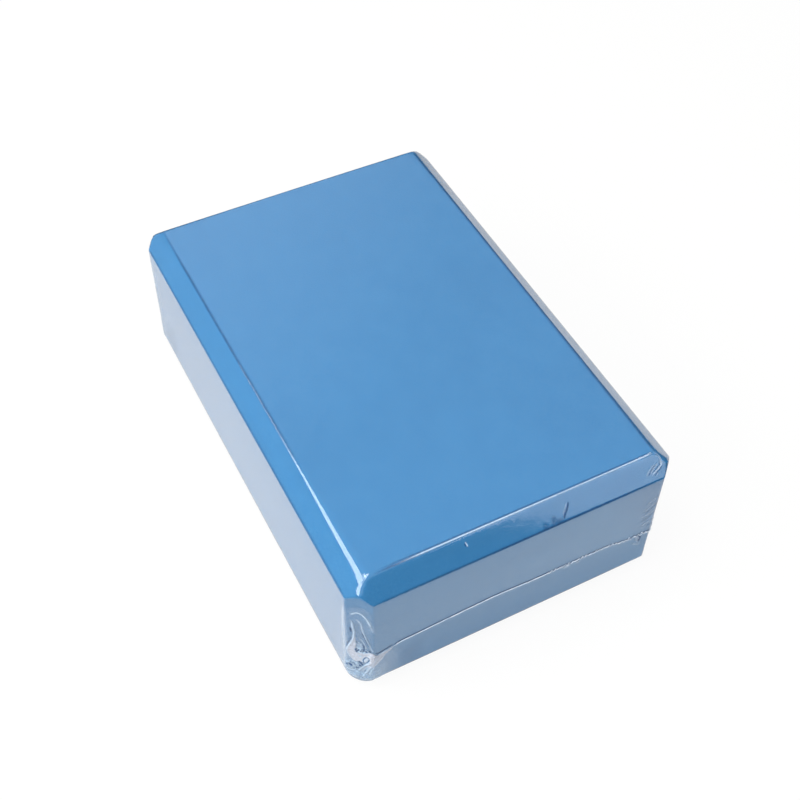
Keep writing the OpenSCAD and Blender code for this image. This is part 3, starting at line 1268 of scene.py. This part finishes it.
@dataclass(frozen=True)
class FoamFinish:
    """Cut closed-cell foam: matte blue with a very fine cell grain.

    Attributes:
        colour: its plain colour.
        pale: the colour of cell walls that catch the light.
        roughness: how matte it is.
        cell: width of a cell, in metres.
        cell_soft: how smoothly one cell runs into the next.
        cell_tint: how much of the pale colour the cells add.
        grain: height of the grain, in metres.
        clouds: scale, detail and roughness of its broader unevenness.
        cloud_tint: how much of the pale colour the clouds add or take.
        cloud_matt: how much the clouds change how matte it is.
        tint: how much of the pale colour there is everywhere.
    """

    colour: Colour = (0.026, 0.174, 0.40, 1.0)
    pale: Colour = (0.042, 0.206, 0.44, 1.0)
    roughness: float = 0.8
    cell: float = 0.0007
    cell_soft: float = 0.4
    cell_tint: float = 0.8
    grain: float = 0.00005
    clouds: Point3 = (110.0, 5.0, 0.65)
    cloud_tint: float = 1.2
    cloud_matt: float = 0.15
    tint: float = 0.1

    def material(self) -> bpy.types.Material:
        """Builds the foam's material."""
        made, graph = new_material("closed_cell_foam")
        place = graph.object_place()
        cells = graph.node(
            "ShaderNodeTexVoronoi", {"feature": "SMOOTH_F1"},
            {"Vector": place, "Scale": 1 / self.cell, "Smoothness": self.cell_soft},
        )
        cell = graph.field(cells, "Distance")
        cloud = graph.noise(place, *self.clouds) - 0.5
        tint = (self.cell_tint * cell + self.cloud_tint * cloud + self.tint).clamped()
        bump = graph.node(
            "ShaderNodeBump", None,
            {"Strength": 0.6, "Distance": self.grain, "Height": cell},
        )
        shader = graph.node(
            "ShaderNodeBsdfPrincipled", None,
            {
                "Base Color": graph.colour_mix(tint, self.colour, self.pale),
                "Roughness": (self.roughness + self.cloud_matt * cloud).clamped(),
                "Specular IOR Level": 0.2,
                "Normal": bump.outputs[0],
            },
        )
        graph.show(shader.outputs[0])
        return made


@dataclass(frozen=True)
class FilmFinish:
    """Clear shrink film: see-through, with a gloss that grows at a slant.

    Attributes:
        plain_gloss: what one face mirrors when seen straight on.
        slant_gloss: what it adds as the face is seen at a slant, and the power.
        grazing_gloss: what it adds when seen almost edge on, and the power.
        pressed_gloss: share of it that stays where the film is pressed on.
        painted_shade_matt: how fast the mirror fades where painted shade covers.
        roughness: blur of what it mirrors.
        relief: height of a full step in its fine relief, in metres.
        streak: share of the relief in long level stretch lines.
        streak_noise: scale, detail and roughness of those lines.
        streak_long: how many times longer they are than high.
        streak_veil: how much they veil or clear.
        mottle: share of the relief in small dimples.
        mottle_noise: scale, detail and roughness of the dimples.
        cloudy: how unevenly a veil covers.
        cloudy_noise: scale, detail and roughness of that unevenness.
        veil_roughness: how matte a veil is.
        veil_shine: its specular level.
        dark: colour of painted shade in a deep crease.
        pale: colour of doubled film, and of painted highlights.
        warm: colour of film that has been drawn milky.
    """

    plain_gloss: float = 0.04
    slant_gloss: Point2 = (0.38, 3.0)
    grazing_gloss: Point2 = (0.58, 8.0)
    pressed_gloss: float = 0.5
    painted_shade_matt: float = 1.8
    roughness: float = 0.07
    relief: float = 0.001
    streak: float = 0.016
    streak_noise: Point3 = (14.0, 1.5, 0.45)
    streak_long: float = 16.0
    streak_veil: float = 0.05
    mottle: float = 0.016
    mottle_noise: Point3 = (380.0, 2.0, 0.5)
    cloudy: float = 1.1
    cloudy_noise: Point3 = (850.0, 2.0, 0.6)
    veil_roughness: float = 0.45
    veil_shine: float = 0.3
    dark: Colour = (0.016, 0.08, 0.24, 1.0)
    pale: Colour = (0.50, 0.68, 0.90, 1.0)
    warm: Colour = (0.69, 0.71, 0.84, 1.0)

    def material(self) -> bpy.types.Material:
        """Builds the material, which reads the values "cover", "tone" and "gap"."""
        made, graph = new_material("clear_shrink_film")
        place = graph.object_place()
        stretch = {"Vector": place, "Scale": (1.0, 1.0, self.streak_long)}
        level = graph.node("ShaderNodeMapping", None, stretch)
        lines = graph.noise(level.outputs[0], *self.streak_noise)
        dimples = graph.noise(place, *self.mottle_noise)
        grain = graph.noise(place, *self.cloudy_noise)
        bump = graph.node(
            "ShaderNodeBump", None,
            {
                "Strength": 1.0,
                "Distance": self.relief,
                "Height": self.streak * lines + self.mottle * dimples,
            },
        )
        facing = graph.field(graph.node("ShaderNodeLayerWeight", None, {"Normal": bump.outputs[0]}), "Facing")
        gloss = self.plain_gloss
        for share, power in (self.slant_gloss, self.grazing_gloss):
            gloss = gloss + share * facing**power
        cover = graph.attribute("cover")
        tone = graph.attribute("tone")
        # the mirror fades where painted shade covers, so that the shade stays dark
        painted_shade_strength = self.painted_shade_matt * cover * (1.0 - tone * 2.0).clamped()
        loose = self.pressed_gloss + (1.0 - self.pressed_gloss) * graph.attribute("gap")
        contact = loose * (1.0 - painted_shade_strength).clamped()
        mirror = graph.node(
            "ShaderNodeBsdfAnisotropic", {"distribution": "GGX"},
            {"Color": (1.0, 1.0, 1.0, 1.0), "Roughness": self.roughness, "Normal": bump.outputs[0]},
        )
        clear = graph.node("ShaderNodeBsdfTransparent", None, {"Color": (1.0, 1.0, 1.0, 1.0)})
        # the veil runs from painted shade to doubled film and painted highlight, then to warm milky film
        cool = graph.colour_mix((tone * 2.0).clamped() ** 2.0, self.dark, self.pale)
        veil = graph.node(
            "ShaderNodeBsdfPrincipled", None,
            {
                "Base Color": graph.colour_mix((tone * 2.0 - 1.0).clamped(), cool, self.warm),
                "Roughness": self.veil_roughness,
                "Specular IOR Level": self.veil_shine,
            },
        )
        haze = cover * (1.0 + self.cloudy * (grain - 0.5)) + self.streak_veil * (lines - 0.5)
        body = graph.blend(haze.clamped(), clear.outputs[0], veil.outputs[0])
        graph.show(graph.blend((gloss * contact).clamped(), body, mirror.outputs[0]))
        return made


@dataclass(frozen=True)
class SealFinish:
    """Film melted into a bead: milky, with a soft gloss.

    Attributes:
        colour: the bead's colour.
        pale: its colour where it holds fine bubbles.
        bubbles: scale, detail and roughness of the bubbly parts.
        roughness: how soft its gloss is.
    """

    colour: Colour = (0.54, 0.69, 0.90, 1.0)
    pale: Colour = (0.80, 0.87, 0.96, 1.0)
    bubbles: Point3 = (420.0, 2.0, 0.6)
    roughness: float = 0.25

    def material(self) -> bpy.types.Material:
        """Builds the bead's material."""
        made, graph = new_material("melted_film")
        noise = graph.noise(graph.object_place(), *self.bubbles)
        shader = graph.node(
            "ShaderNodeBsdfPrincipled", None,
            {
                "Base Color": graph.colour_mix((noise * 2.0 - 0.5).clamped(), self.colour, self.pale),
                "Roughness": self.roughness,
            },
        )
        graph.show(shader.outputs[0])
        return made


# --------------------------------------------------------------------- pieces


@dataclass
class FoamBlock:
    """The foam itself, cut with a bevel along every edge.

    Attributes:
        form: its shape.
        finish: its material.
        edge_steps: distances of the grid's cuts from an edge.
        pitch: spacing of the cuts across the flats.
    """

    form: BlockForm
    finish: FoamFinish = field(default_factory=FoamFinish)
    edge_steps: Tuple[float, ...] = (0.0, 0.18, 0.4, 0.8, 1.5, 2.6, 4.1)
    pitch: float = 24.0

    def build(self) -> bpy.types.Object:
        """Cuts, eases and dresses the block.

        Returns:
            The finished piece, riding on the root body.
        """
        block = bevelled_block("foam_block_cut", self.form, 0.0)
        cut_edges(block, self.form, self.edge_steps, self.pitch)
        points, _ = self.form.settle(read_points(block), 0.0)
        write_points(block, points)
        block.data.materials.append(self.finish.material())
        smooth(block)
        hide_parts("foam_block")
        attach(block, "root")
        return block


@dataclass
class SealBead:
    """The fine melted bead that crowns the seam.

    Attributes:
        form: the block it goes round.
        seam: the seam it follows.
        off: distance of the smooth film from the foam.
        radius: its radius.
        step: spacing of its rings.
        sides: how many sides each ring has.
        ripple: how much its girth varies everywhere, as a share.
        lumps: how much more it varies where the seal is bumpy.
        taper: how many rings each end takes to come to a point.
        finish: its material.
    """

    form: BlockForm
    seam: Seam
    off: float
    radius: float = 0.25
    step: float = 0.36
    sides: int = 8
    ripple: Ripple = Ripple(0.25, (2.3, 3.9, 7.7), 11)
    lumps: Ripple = Ripple(0.5, (1.9, 2.9), 12)
    taper: int = 4
    finish: SealFinish = field(default_factory=SealFinish)

    def build(self) -> bpy.types.Object:
        """Rolls a grid into a tube along the seam.

        Returns:
            The finished piece, riding on the root body.
        """
        deselect_all()
        first, last = self.seam.knots[0][0], self.seam.knots[-1][0]
        rings = round((last - first) / self.step)
        bpy.ops.mesh.primitive_grid_add(x_subdivisions=rings, y_subdivisions=self.sides, size=1.0)
        bead = bpy.context.object
        bead.name = "seam_bead"
        share = read_points(bead)[:, :2] * MM + 0.5
        run = first + share[:, 0] * (last - first)
        angle = 2 * math.pi * share[:, 1]
        girth = self.radius * (1 + self.ripple.at(run))
        girth = girth * (1 + self.seam.rough(run) * self.lumps.at(run))
        girth = girth * np.clip(np.minimum(share[:, 0], 1 - share[:, 0]) * rings / self.taper, 0, 1)
        height = self.seam.line(run) + girth * np.sin(angle)
        aside = np.abs(self.seam.line(run) - self.seam.middle(run)) / self.seam.tent_width
        off = self.off + self.seam.crest(run) * np.exp(-aside) + girth * np.cos(angle)
        points, _ = self.form.place_on(run, height, off)
        write_points(bead, points)
        bpy.ops.object.mode_set(mode="EDIT")
        bpy.ops.mesh.select_all(action="SELECT")
        bpy.ops.mesh.remove_doubles(threshold=WELD)
        bpy.ops.mesh.normals_make_consistent(inside=False)
        bpy.ops.object.mode_set(mode="OBJECT")
        bead.data.materials.append(self.finish.material())
        smooth(bead, 80.0)
        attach(bead, "root")
        return bead


@dataclass(frozen=True)
class Cling:
    """Where the film is pressed on to the foam, so that its gloss is less.

    Attributes:
        top: height under the seam at which it begins.
        fade: height over which it comes in.
        deep: height below which it is strongest.
        deepen: height above that over which it weakens.
        loss: share of the gloss that goes at the top.
        low_loss: share more that goes further down.
        near_start: run at which it is full, past the near corner.
        far_end: distance from the far corner at which it is full.
        end_fade: distance over which it fades past those two places.
        at_ends: how much of it stays there.
    """

    top: float = 30.6
    fade: float = 1.6
    deep: float = 11.5
    deepen: float = 20.0
    loss: float = 0.16
    low_loss: float = 0.2
    near_start: float = 16.0
    far_end: float = 10.0
    end_fade: float = 6.0
    at_ends: float = 0.3

    def gap(self, form: BlockForm, run: Array, height: Array) -> Array:
        """How loose the film is: 1 clear of the foam, 0 pressed on to it."""
        lower = np.clip((self.deep + self.deepen - height) / self.deepen, 0, 1)
        under_seam = window(height, -self.top, self.top, self.fade)
        sealed = window(run, self.near_start, form.far_corner - self.far_end, self.end_fade)
        loss = self.loss + self.low_loss * lower
        return 1 - under_seam * loss * (self.at_ends + (1 - self.at_ends) * sealed)


@dataclass
class ShrinkFilm:
    """The clear wrap: one thin skin with its seam, gathers and stretch marks.

    Attributes:
        form: the block it is shrunk on.
        seam: its heat seal.
        finish: its material.
        skin: distance of its outer face from the foam.
        wall: its thickness.
        seam_allowance: film lost in the seal, along each side of the cut sheet.
        edge_steps: distances of the cuts from an edge that runs up or along.
        pitch: spacing of the cuts across the flats.
        far_calm: how far the far gather stands off, beside the near one.
        far_reach: run to either side of the far corner that this holds for.
        level_from: how level the film may lie before its marks fade away.
        level_fade: how much further they take to be gone.
        cling: where it is pressed on to the foam.
    """

    form: BlockForm
    seam: Seam = field(default_factory=Seam)
    finish: FilmFinish = field(default_factory=FilmFinish)
    skin: float = 0.16
    wall: float = 0.05
    seam_allowance: float = 8.0
    edge_steps: Tuple[float, ...] = (0.0, 0.16, 0.36, 0.7, 1.3, 2.3, 4.1)
    pitch: float = 24.0
    far_calm: float = 0.5
    far_reach: float = 20.0
    level_from: float = 0.75
    level_fade: float = 0.2
    cling: Cling = field(default_factory=Cling)

    def _regions(self) -> Tuple[Region, ...]:
        """Where the film needs a closer grid."""
        far = self.form.far_corner
        return (
            # the near gather, and the far one
            Region((-8.5, 16.6), (6.0, 33.0), pitch=0.35, rise=0.36),
            Region((-8.5, 9.0), (33.0, 53.0), pitch=0.36, rise=0.8),
            Region((-8.5, 9.0), (53.0, 61.0), pitch=0.36, rise=0.36),
            Region((far - 16.6, far + 8.5), (6.0, 33.0), pitch=0.8, rise=0.8),
            Region((far - 9.0, far + 8.5), (33.0, 61.0), pitch=0.7, rise=1.3),
            # the seam, from end to end
            Region((16.6, 96.0), (26.5, 36.0), pitch=1.3, rise=0.34),
            Region((96.0, 141.5), (26.5, 36.0), pitch=0.5, rise=0.34),
            Region((141.5, far - 16.6), (28.5, 34.5), pitch=3.0, rise=0.42),
            # stretch lines, the vent hole, and the marks on the +X bevel
            Region((130.5, 143.0), (36.0, 56.5), pitch=1.2, rise=0.45),
            Region((130.4, 137.5), (20.0, 26.5), pitch=0.5, rise=0.42),
            Region((131.0, 141.9), (67.6, 75.2), pitch=0.2, rise=0.18),
            Region((90.4, 96.0), (66.6, 73.4), pitch=0.18, rise=0.55),
            Region((80.6, 90.4), (66.7, 71.0), pitch=0.6, rise=0.5),
            Region((47.8, 49.5), (71.5, 73.4), pitch=0.2, rise=0.2),
        )

    def build(self, foam: bpy.types.Object) -> bpy.types.Object:
        """Cuts, lays and dresses the film, with its bead.

        Args:
            foam: the piece it rests on; not used.

        Returns:
            The finished piece, riding on the root body.
        """
        form = self.form
        film = bevelled_block("shrink_film_wrap", form, self.skin)
        cut_edges(film, form, self.edge_steps, self.pitch)
        for region in self._regions():
            refine(film, form, region)
        points, outward = form.settle(read_points(film), self.skin)
        run, height = form.run_of(points), points[:, 2]
        canvas = Canvas(run, height)
        self.seam.lay_on(canvas)
        for mark in WALL_MARKS:
            mark.lay_on(canvas, form.front_places(points))
        for centre, hand in ((0.0, 1), (form.far_corner, -1)):
            places = canvas.places_from(centre, hand, form.around)
            for mark in GATHER_MARKS:
                mark.lay_on(canvas, places)
        calm = np.where(np.abs(run - form.far_corner) < self.far_reach, self.far_calm, 1.0)
        level = (np.abs(outward[:, 2]) - self.level_from) / self.level_fade
        upright = 1 - np.clip(level, 0, 1)
        points = points + outward * (canvas.lift * upright * calm)[:, None]
        points[:, 2] = np.maximum(points[:, 2], 0.0)
        canvas.thin(upright)
        for line in PAINTED_EDGE_LINES:
            line.lay_on(canvas, points - form.centre)
        write_points(film, points)
        # cover and tone carry the marks: painted shade and painted highlight as well as pale and milky film
        write_values(film, "cover", canvas.cover)
        write_values(film, "tone", canvas.tone)
        write_values(film, "gap", self.cling.gap(form, run, height))
        self._thicken(film)
        film.data.materials.append(self.finish.material())
        smooth(film)
        bead = SealBead(form, self.seam, self.skin).build()
        size = 2 * form.half
        spare = 2 * self.seam_allowance
        flat = ((2 * (size[1] + size[2]) + spare) * MM, (size[0] + size[2] + spare) * MM)
        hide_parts("shrink_film")
        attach(film, "root")
        return film

    def _thicken(self, film: bpy.types.Object) -> None:
        """Gives the film its inner wall."""
        activate(film)
        solid = film.modifiers.new("wall", "SOLIDIFY")
        solid.thickness = self.wall * MM
        solid.offset = -1.0
        bpy.ops.object.modifier_apply(modifier=solid.name)


# --------------------------------------------------------------------- studio


@dataclass(frozen=True)
class Softbox:
    """A soft rectangular light, placed by the direction it lies in.

    Attributes:
        name: its name.
        azimuth: its direction in plan, from +X towards +Y, in degrees.
        elevation: its height above the horizon, in degrees.
        distance: how far it stands from the block, in metres.
        width: its width, in metres.
        height: its height, in metres.
        radiance: how bright its face looks, where 1 is white.
        roll: its turn about the line to the block, in degrees.
        blue: how much blue its light has, where 1 is white light.
    """

    name: str
    azimuth: float
    elevation: float
    distance: float
    width: float
    height: float
    radiance: float
    roll: float = 0.0
    blue: float = 1.0

    def place(self, target: Vector) -> bpy.types.Object:
        """Hangs the softbox, facing the target."""
        direction = direction_of(self.azimuth, self.elevation)
        data = bpy.data.lights.new(self.name, "AREA")
        data.shape = "RECTANGLE"
        data.color = (1.0, 1.0, self.blue)
        data.size = self.width
        data.size_y = self.height
        data.energy = self.radiance * math.pi * self.width * self.height
        lamp = bpy.data.objects.new(self.name, data)
        lamp.location = target + direction * self.distance
        turn = Quaternion((0.0, 0.0, 1.0), math.radians(self.roll))
        lamp.rotation_euler = (direction.to_track_quat("Z", "Y") @ turn).to_euler()
        bpy.context.scene.collection.objects.link(lamp)
        return lamp


@dataclass(frozen=True)
class Surround:
    """The studio round the block, as plain bands of light and dark.

    Attributes:
        base: brightness everywhere.
        overhead: what the ceiling adds.
        overhead_from: heights of a direction at which it starts and is full.
        wall: what a low pale wall to the left adds.
        wall_way: the direction of that wall, as azimuth and elevation.
        wall_top: heights of a direction at which it ends and has faded out.
        screen: what a pale screen high on the left adds.
        screen_way: the direction of its middle.
        screen_size: angles from there at which it ends and has faded out.
        flag: how much light a dark card takes away.
        flag_way: the direction of its middle.
        flag_size: angles from there at which it ends and has faded out.
    """

    base: float = 0.06
    overhead: float = 0.5
    overhead_from: Point2 = (0.3, 0.6)
    wall: float = 0.30
    wall_way: Point2 = (-140.0, 5.0)
    wall_top: Point2 = (0.25, 0.45)
    screen: float = 0.34
    screen_way: Point2 = (175.0, 35.0)
    screen_size: Point2 = (11.5, 21.5)
    flag: float = 0.8
    flag_way: Point2 = (6.0, 24.0)
    flag_size: Point2 = (14.0, 24.0)

    def world(self) -> bpy.types.World:
        """Builds the world, whose brightness depends on direction alone."""
        world = bpy.data.worlds.new("surround")
        world.use_nodes = True
        graph = Graph(world.node_tree)
        way = graph.node("ShaderNodeTexCoord").outputs["Generated"]
        height = graph.field(graph.node("ShaderNodeSeparateXYZ", None, {0: way}), 2)
        facing = self._towards(graph, way, self.wall_way).clamped()
        level = self.base + self.overhead * height.ramp(*self.overhead_from)
        level = level + self.wall * facing * facing * (1.0 - height.ramp(*self.wall_top))
        level = level + self.screen * self._spot(graph, way, self.screen_way, self.screen_size)
        level = level * (1.0 - self.flag * self._spot(graph, way, self.flag_way, self.flag_size))
        dim, lit = (graph.glow("ShaderNodeBackground", colour) for colour in (BLACK, WHITE))
        seen = graph.field(graph.node("ShaderNodeLightPath"), "Is Camera Ray")
        graph.show(graph.blend(level.clamped().larger(seen), dim, lit), "ShaderNodeOutputWorld")
        return world

    def _spot(self, graph: Graph, way: bpy.types.NodeSocket, goal: Point2, size: Point2) -> Field:
        """1 within the inner angle of the goal, falling to 0 at the outer one."""
        inner, outer = (math.cos(math.radians(angle)) for angle in size)
        return self._towards(graph, way, goal).ramp(outer, inner)

    @staticmethod
    def _towards(graph: Graph, way: bpy.types.NodeSocket, goal: Point2) -> Field:
        """Cosine of the angle between a direction and the goal."""
        dot = graph.node(
            "ShaderNodeVectorMath", {"operation": "DOT_PRODUCT"},
            {0: way, 1: tuple(direction_of(*goal))},
        )
        return graph.field(dot, "Value")


@dataclass(frozen=True)
class Floor:
    """A white floor, which mirrors see with painted shade round the block, and whose part in front of the
    block glows to light it.

    Attributes:
        size: its width, in metres.
        white: share of plain white in what the eye sees of it.
        bounce: share of plain white glow, a painted light, in what lights the block from in front.
        plain: its own colour, which carries the block's shadow.
        blue: the painted glow of the part in front as mirrors see it, which takes on the block's blue.
        dark: the light of its shaded parts.
        mirror_white: how white mirrors see it beside the block.
        horizon: radii at which it starts to darken and is dark.
        north: span of Y over which the shade behind the block comes in.
        north_shade: how deep that shade is.
        west: span of -X over which the shade at the block's far end comes in.
        west_edge: span of Y over which it comes in.
        west_shade: how deep it is.
        haze: span of -X over which the floor dims a little.
        haze_shade: how much it dims.
        east: span of X over which the part in front of the block begins.
        foot: span of X over which the shade at the block's foot dies away.
        foot_shade: how deep that shade is.
        under_x: spans of -X that bound the shade under the block's front.
        under_y: half widths between which that shade ends.
        under_shade: how deep it is.
    """

    size: float = 12.0
    white: float = 0.93
    bounce: float = 0.9
    plain: Colour = (0.8, 0.8, 0.8, 1.0)
    blue: Point3 = (0.87, 0.95, 1.0)
    dark: Point3 = (0.05, 0.06, 0.08)
    mirror_white: float = 0.90
    horizon: Point2 = (0.26, 0.7)
    north: Point2 = (0.07, 0.10)
    north_shade: float = 0.17
    west: Point2 = (0.11, 0.13)
    west_edge: Point2 = (-0.08, -0.07)
    west_shade: float = 0.5
    haze: Point2 = (0.04, 0.12)
    haze_shade: float = 0.06
    east: Point2 = (0.113, 0.116)
    foot: Point2 = (0.115, 0.135)
    foot_shade: float = 0.26
    under_x: Tuple[Point2, ...] = ((-0.1165, -0.1155), (-0.1165, -0.113))
    under_y: Point2 = (0.0752, 0.0762)
    under_shade: float = 0.8

    def build(self) -> bpy.types.Object:
        """Lays the floor and dresses it.

        Returns:
            The floor, which is part of the stage.
        """
        deselect_all()
        bpy.ops.mesh.primitive_plane_add(size=self.size, location=(0.0, 0.0, 0.0))
        floor = bpy.context.object
        floor.name = "studio_floor"
        floor.data.materials.append(self._material())
        return floor

    def _material(self) -> bpy.types.Material:
        """White to the eye, lit like a plain floor but glowing in front of the block, and with painted shade
        in mirrors.
        """
        made, graph = new_material("white_floor")
        path = graph.node("ShaderNodeLightPath")
        mirrored = graph.field(path, "Is Glossy Ray").larger(graph.field(path, "Is Transmission Ray"))
        direct = graph.field(path, "Is Camera Ray")
        plain = graph.node("ShaderNodeBsdfDiffuse", None, {"Color": self.plain}).outputs[0]
        glow, blue, dark = (
            graph.glow("ShaderNodeEmission", colour) for colour in (WHITE, self.blue, self.dark)
        )
        level, east = self._shade(graph)
        lit = (direct * self.white).larger(east * self.bounce)
        shaded = graph.blend(level, dark, graph.blend(east, glow, blue))
        graph.show(graph.blend(mirrored, graph.blend(lit, plain, glow), shaded))
        return made

    def _shade(self, graph: Graph) -> Tuple[Field, Field]:
        """How mirrors see the floor: painted shade round the block, which stands in for its shadow.

        Args:
            graph: the floor's material.

        Returns:
            Its brightness, and how far it takes on the block's blue.
        """
        place = graph.object_place()
        axes = graph.node("ShaderNodeSeparateXYZ", None, {0: place})
        x, y = graph.field(axes, 0), graph.field(axes, 1)
        back = x * -1.0
        radius = graph.field(
            graph.node("ShaderNodeVectorMath", {"operation": "LENGTH"}, {0: place}), "Value"
        )
        horizon = 1.0 - radius.ramp(*self.horizon)
        north = y.ramp(*self.north)
        west = back.ramp(*self.west) * y.ramp(*self.west_edge) * (1.0 - north)
        behind = (1.0 - self.north_shade * north) * (1.0 - self.west_shade * west)
        behind = behind * (1.0 - self.haze_shade * back.ramp(*self.haze))
        east = x.ramp(*self.east)
        foot = 1.0 - self.foot_shade * east * (1.0 - x.ramp(*self.foot))
        near, far = self.under_y
        under = (1.0 - east) * y.ramp(-far, -near) * (1.0 - y.ramp(near, far))
        for span in self.under_x:
            under = under * back.ramp(*span)
        white = self.mirror_white + (1.0 - self.mirror_white) * east
        level = white * horizon * behind * foot * (1.0 - self.under_shade * under)
        return level.clamped(), east * (1.0 - north)


@dataclass
class Studio:
    """A plain pale studio: white floor, surround, softboxes and camera.

    Attributes:
        lights: its softboxes.
        surround: what stands round it.
        floor: what the block lies on.
        lit_place: where the softboxes point, in metres.
        camera_place: where the camera is, in millimetres.
        camera_aim: where it looks, in millimetres.
        camera_roll: its tilt about that line, in degrees.
        lens: its focal length, in millimetres.
    """

    lights: Tuple[Softbox, ...] = (
        Softbox("key_softbox", -92.0, 36.0, 1.1, 1.6, 0.42, 5.4, blue=0.93),
        Softbox("fill_softbox", -90.0, 64.0, 1.3, 0.9, 0.6, 3.3, blue=0.95),
        Softbox("back_softbox", -100.0, 78.0, 1.3, 0.6, 0.6, 4.7, blue=0.95),
        Softbox("side_softbox", 36.2, 29.6, 1.2, 0.5, 0.62, 1.5, 43.5),
        Softbox("rim_softbox", 60.0, 60.0, 1.3, 0.8, 0.14, 4.2),
    )
    surround: Surround = field(default_factory=Surround)
    floor: Floor = field(default_factory=Floor)
    lit_place: Point3 = (0.0, 0.0, 0.04)
    camera_place: Point3 = (334.71, -176.18, 483.66)
    camera_aim: Point3 = (7.8, 0.61, 37.5)
    camera_roll: float = 1.335
    lens: float = 56.87

    def build(self) -> None:
        """Sets up the whole studio."""
        self.floor.build()
        bpy.context.scene.world = self.surround.world()
        for light in self.lights:
            light.place(Vector(self.lit_place))
        self._camera()
        bpy.context.scene.view_settings.view_transform = "Standard"

    def _camera(self) -> None:
        """Places the camera, aimed and rolled."""
        data = bpy.data.cameras.new("camera")
        data.lens = self.lens
        data.sensor_width = 36.0
        data.clip_start = 0.01
        camera = bpy.data.objects.new("camera", data)
        place, aim = Vector(self.camera_place) * MM, Vector(self.camera_aim) * MM
        level = (aim - place).to_track_quat("-Z", "Y").to_matrix().to_4x4()
        roll = Matrix.Rotation(math.radians(self.camera_roll), 4, "Z")
        camera.matrix_world = Matrix.Translation(place) @ level @ roll
        bpy.context.scene.collection.objects.link(camera)
        bpy.context.scene.camera = camera


# ----------------------------------------------------------------------- main


def main() -> None:
    """Builds the studio, the foam and the film, in that order."""
    logging.basicConfig(level=logging.INFO, format="%(name)s: %(message)s")
    Studio().build()
    LOG.info("studio set up")
    form = BlockForm.from_node("foam_block")
    foam = FoamBlock(form).build()
    LOG.info("%s: %d faces", foam.name, len(foam.data.polygons))
    film = ShrinkFilm(form).build(foam)
    LOG.info("%s: %d faces", film.name, len(film.data.polygons))


if __name__ == "__main__":
    main()
